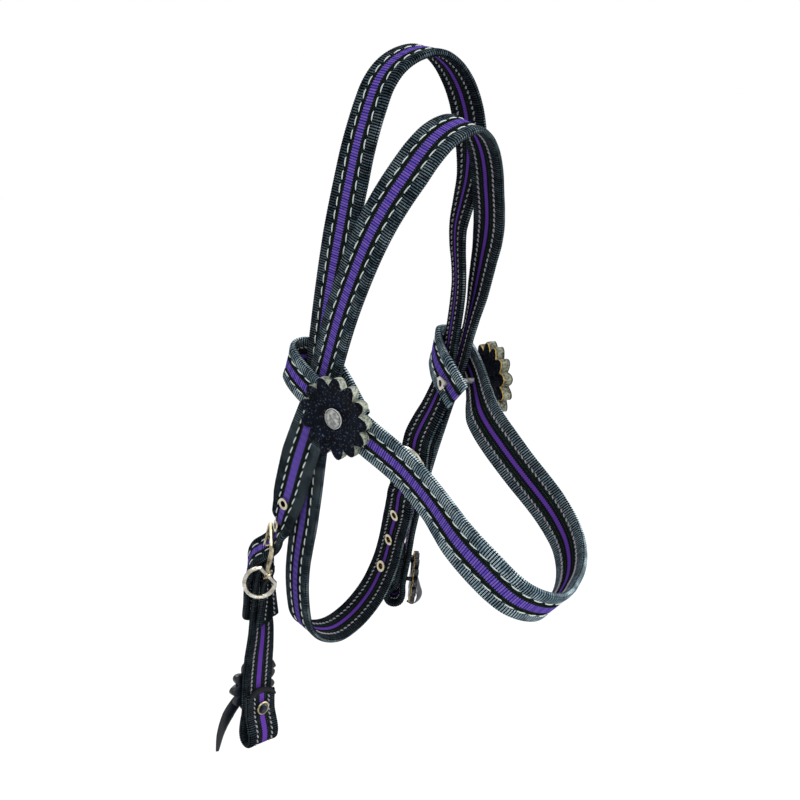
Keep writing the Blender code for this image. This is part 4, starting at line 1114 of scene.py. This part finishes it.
# %% Finishes round an axis
def off_axis(finish, centre, out):
    """Millimetres from the line through `centre` along `out`, in a piece's own space."""
    off = finish.place()
    for operation, other in (("SUBTRACT", centre), ("CROSS_PRODUCT", out)):
        off = finish.node("ShaderNodeVectorMath", {"operation": operation}, {0: off, 1: tuple(other)})
    return finish.node("ShaderNodeVectorMath", {"operation": "LENGTH"}, {0: off}, "Value") / MM


def eyelet_finish(piece):
    finish = Finish(piece.name + "_rim", Metallic=0.9)
    corners = np.array([tuple(corner.co) for corner in piece.data.vertices])
    centre = (corners.max(axis=0) + corners.min(axis=0)) / 2
    out = np.linalg.svd(corners - centre)[2][-1]  # the shortest way through it
    reach = off_axis(finish, centre.tolist(), out.tolist())
    cloud = finish.noise(500.0)
    rim = finish.mix(cloud, shade(150, 142, 112), shade(236, 230, 204))
    # Inside the rim the throat strap's eyelets are coppery; the others are black there, painted shade for
    # the hole
    throat = shade(96, 56, 22) if "throat" in piece.name else shade(10, 9, 10)
    colour = finish.mix(finish.step(reach, 2.9, 3.3), throat, rim)
    return finish.surface(colour, cloud * 0.2 + 0.2, cloud, 0.05)


# A screw head's worn grey disc, with painted shade in its centre recess and a painted highlight on its rim
def worn_head_with_painted_light(piece, place):
    finish = Finish(piece.name + "_worn", Metallic=0.7)
    to_local = piece.matrix_world.inverted()
    out = (to_local.to_3x3() @ place.col[2].to_3d()).normalized()
    reach = off_axis(finish, to_local @ place.translation, out)
    cloud = finish.noise(420.0, 4.0)
    worn = finish.mix(finish.step(cloud, 0.36, 0.66), shade(112, 116, 116), shade(188, 190, 186))
    # Painted shade in the small recess at the head's centre
    painted_dent_shade = finish.step(1.1 - abs(reach - 0.9), 0.3, 1.0)
    worn = finish.mix(painted_dent_shade * 0.35, worn, shade(92, 96, 98))
    line = finish.step(0.3 - abs(reach - 5.6), 0.0, 0.2)
    # Painted highlight: a bright rim round the head
    worn = finish.mix(finish.step(reach, 5.8, 6.0), worn, shade(226, 228, 224))
    return finish.surface(finish.mix(line, worn, shade(24, 22, 22)), cloud * 0.2 + 0.34, cloud, 0.1)


print("finishes for eyelets and screw heads")

# %% [markdown]
# Each metal piece of the frame gets its finish. The soft ones are dressed already.

# %% Metal on the frame's pieces
GILT_NODES = ("cheek_buckle_frame", "cheek_buckle_prong", "dee_link")
DARK_NODES = ("stud_near", "stud_far")
for node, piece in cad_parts.items():
    if node in DRESSED:
        continue
    metal = GILT if node in GILT_NODES else DARK_CAP if node in DARK_NODES else NICKEL
    if "rosette_screw" in node:
        metal = worn_head_with_painted_light(piece, SCREW_PLACES[node.split("_")[-1]])
    if "eyelet" in node:
        metal = eyelet_finish(piece)
    piece.data.materials.clear()
    piece.data.materials.append(metal)
print("metal on", len(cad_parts) - len(DRESSED), "nodes")

# %% [markdown]
# Under each stud's dark cap lies a gilt washer, as wide as the cap's own rim, so its size and
# height are measured from the cap.

# %% Washers
RING_STEPS = 40
WASHER_WIRE = 0.85 * MM


def ring_piece(name, place, radius, wire, body):
    points = []
    for step in range(RING_STEPS):
        angle = 2 * math.pi * step / RING_STEPS
        ray = Vector((math.cos(angle), math.sin(angle), 0))
        for across, up in LENS:
            points.append(place @ (ray * (radius + across * wire) + Vector((0, 0, up * wire))))
    ring = mesh_piece(name, points, tube_faces(RING_STEPS, len(LENS), True), [GILT])
    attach(ring, body)
    print(name, "of radius", round(radius / MM, 2), "mm")


for side, (body, _, _, _, turn, rosette_share, stud_share, _) in BIT_ENDS.items():
    axis = (bit_row(side, rosette_share)[2] * turn).normalized()
    hole = bit_row(side, stud_share)[0]
    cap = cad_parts["stud_" + side]
    rims = []
    for corner in cap.data.vertices:
        offset = cap.matrix_world @ corner.co - hole
        height = offset.dot(axis)
        rims.append(((offset - axis * height).length, height))
    radius, height = max(rims)
    ring_piece(side + "_stud_washer", facing(hole + axis * height, axis, (0, 0, 1)),
               radius, WASHER_WIRE, body)

# %% [markdown]
# The buckled eyelet is one more step down the strap than the two free ones, and only its rim
# shows round the prong.

# %% The buckled eyelet
THIRD_EYELET_SHARE = 0.8
spots, _, normals, _ = fine_line(HEADPIECE_LINE)
free = [sum(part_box("headpiece_eyelet_" + number), Vector()) / 2 for number in "12"]
rows = [int(np.argmin(np.linalg.norm(spots - np.array(spot), axis=1))) for spot in free]
third = rows[1] + round((rows[1] - rows[0]) * THIRD_EYELET_SHARE)
out = Vector(normals[third])
middle = Vector(spots[third]) + out * WEB_THICKNESS * 0.55
ring_piece("buckled_eyelet_rim", facing(middle, out, (0, 0, 1)), 3.5 * MM, 0.6 * MM, "bridle")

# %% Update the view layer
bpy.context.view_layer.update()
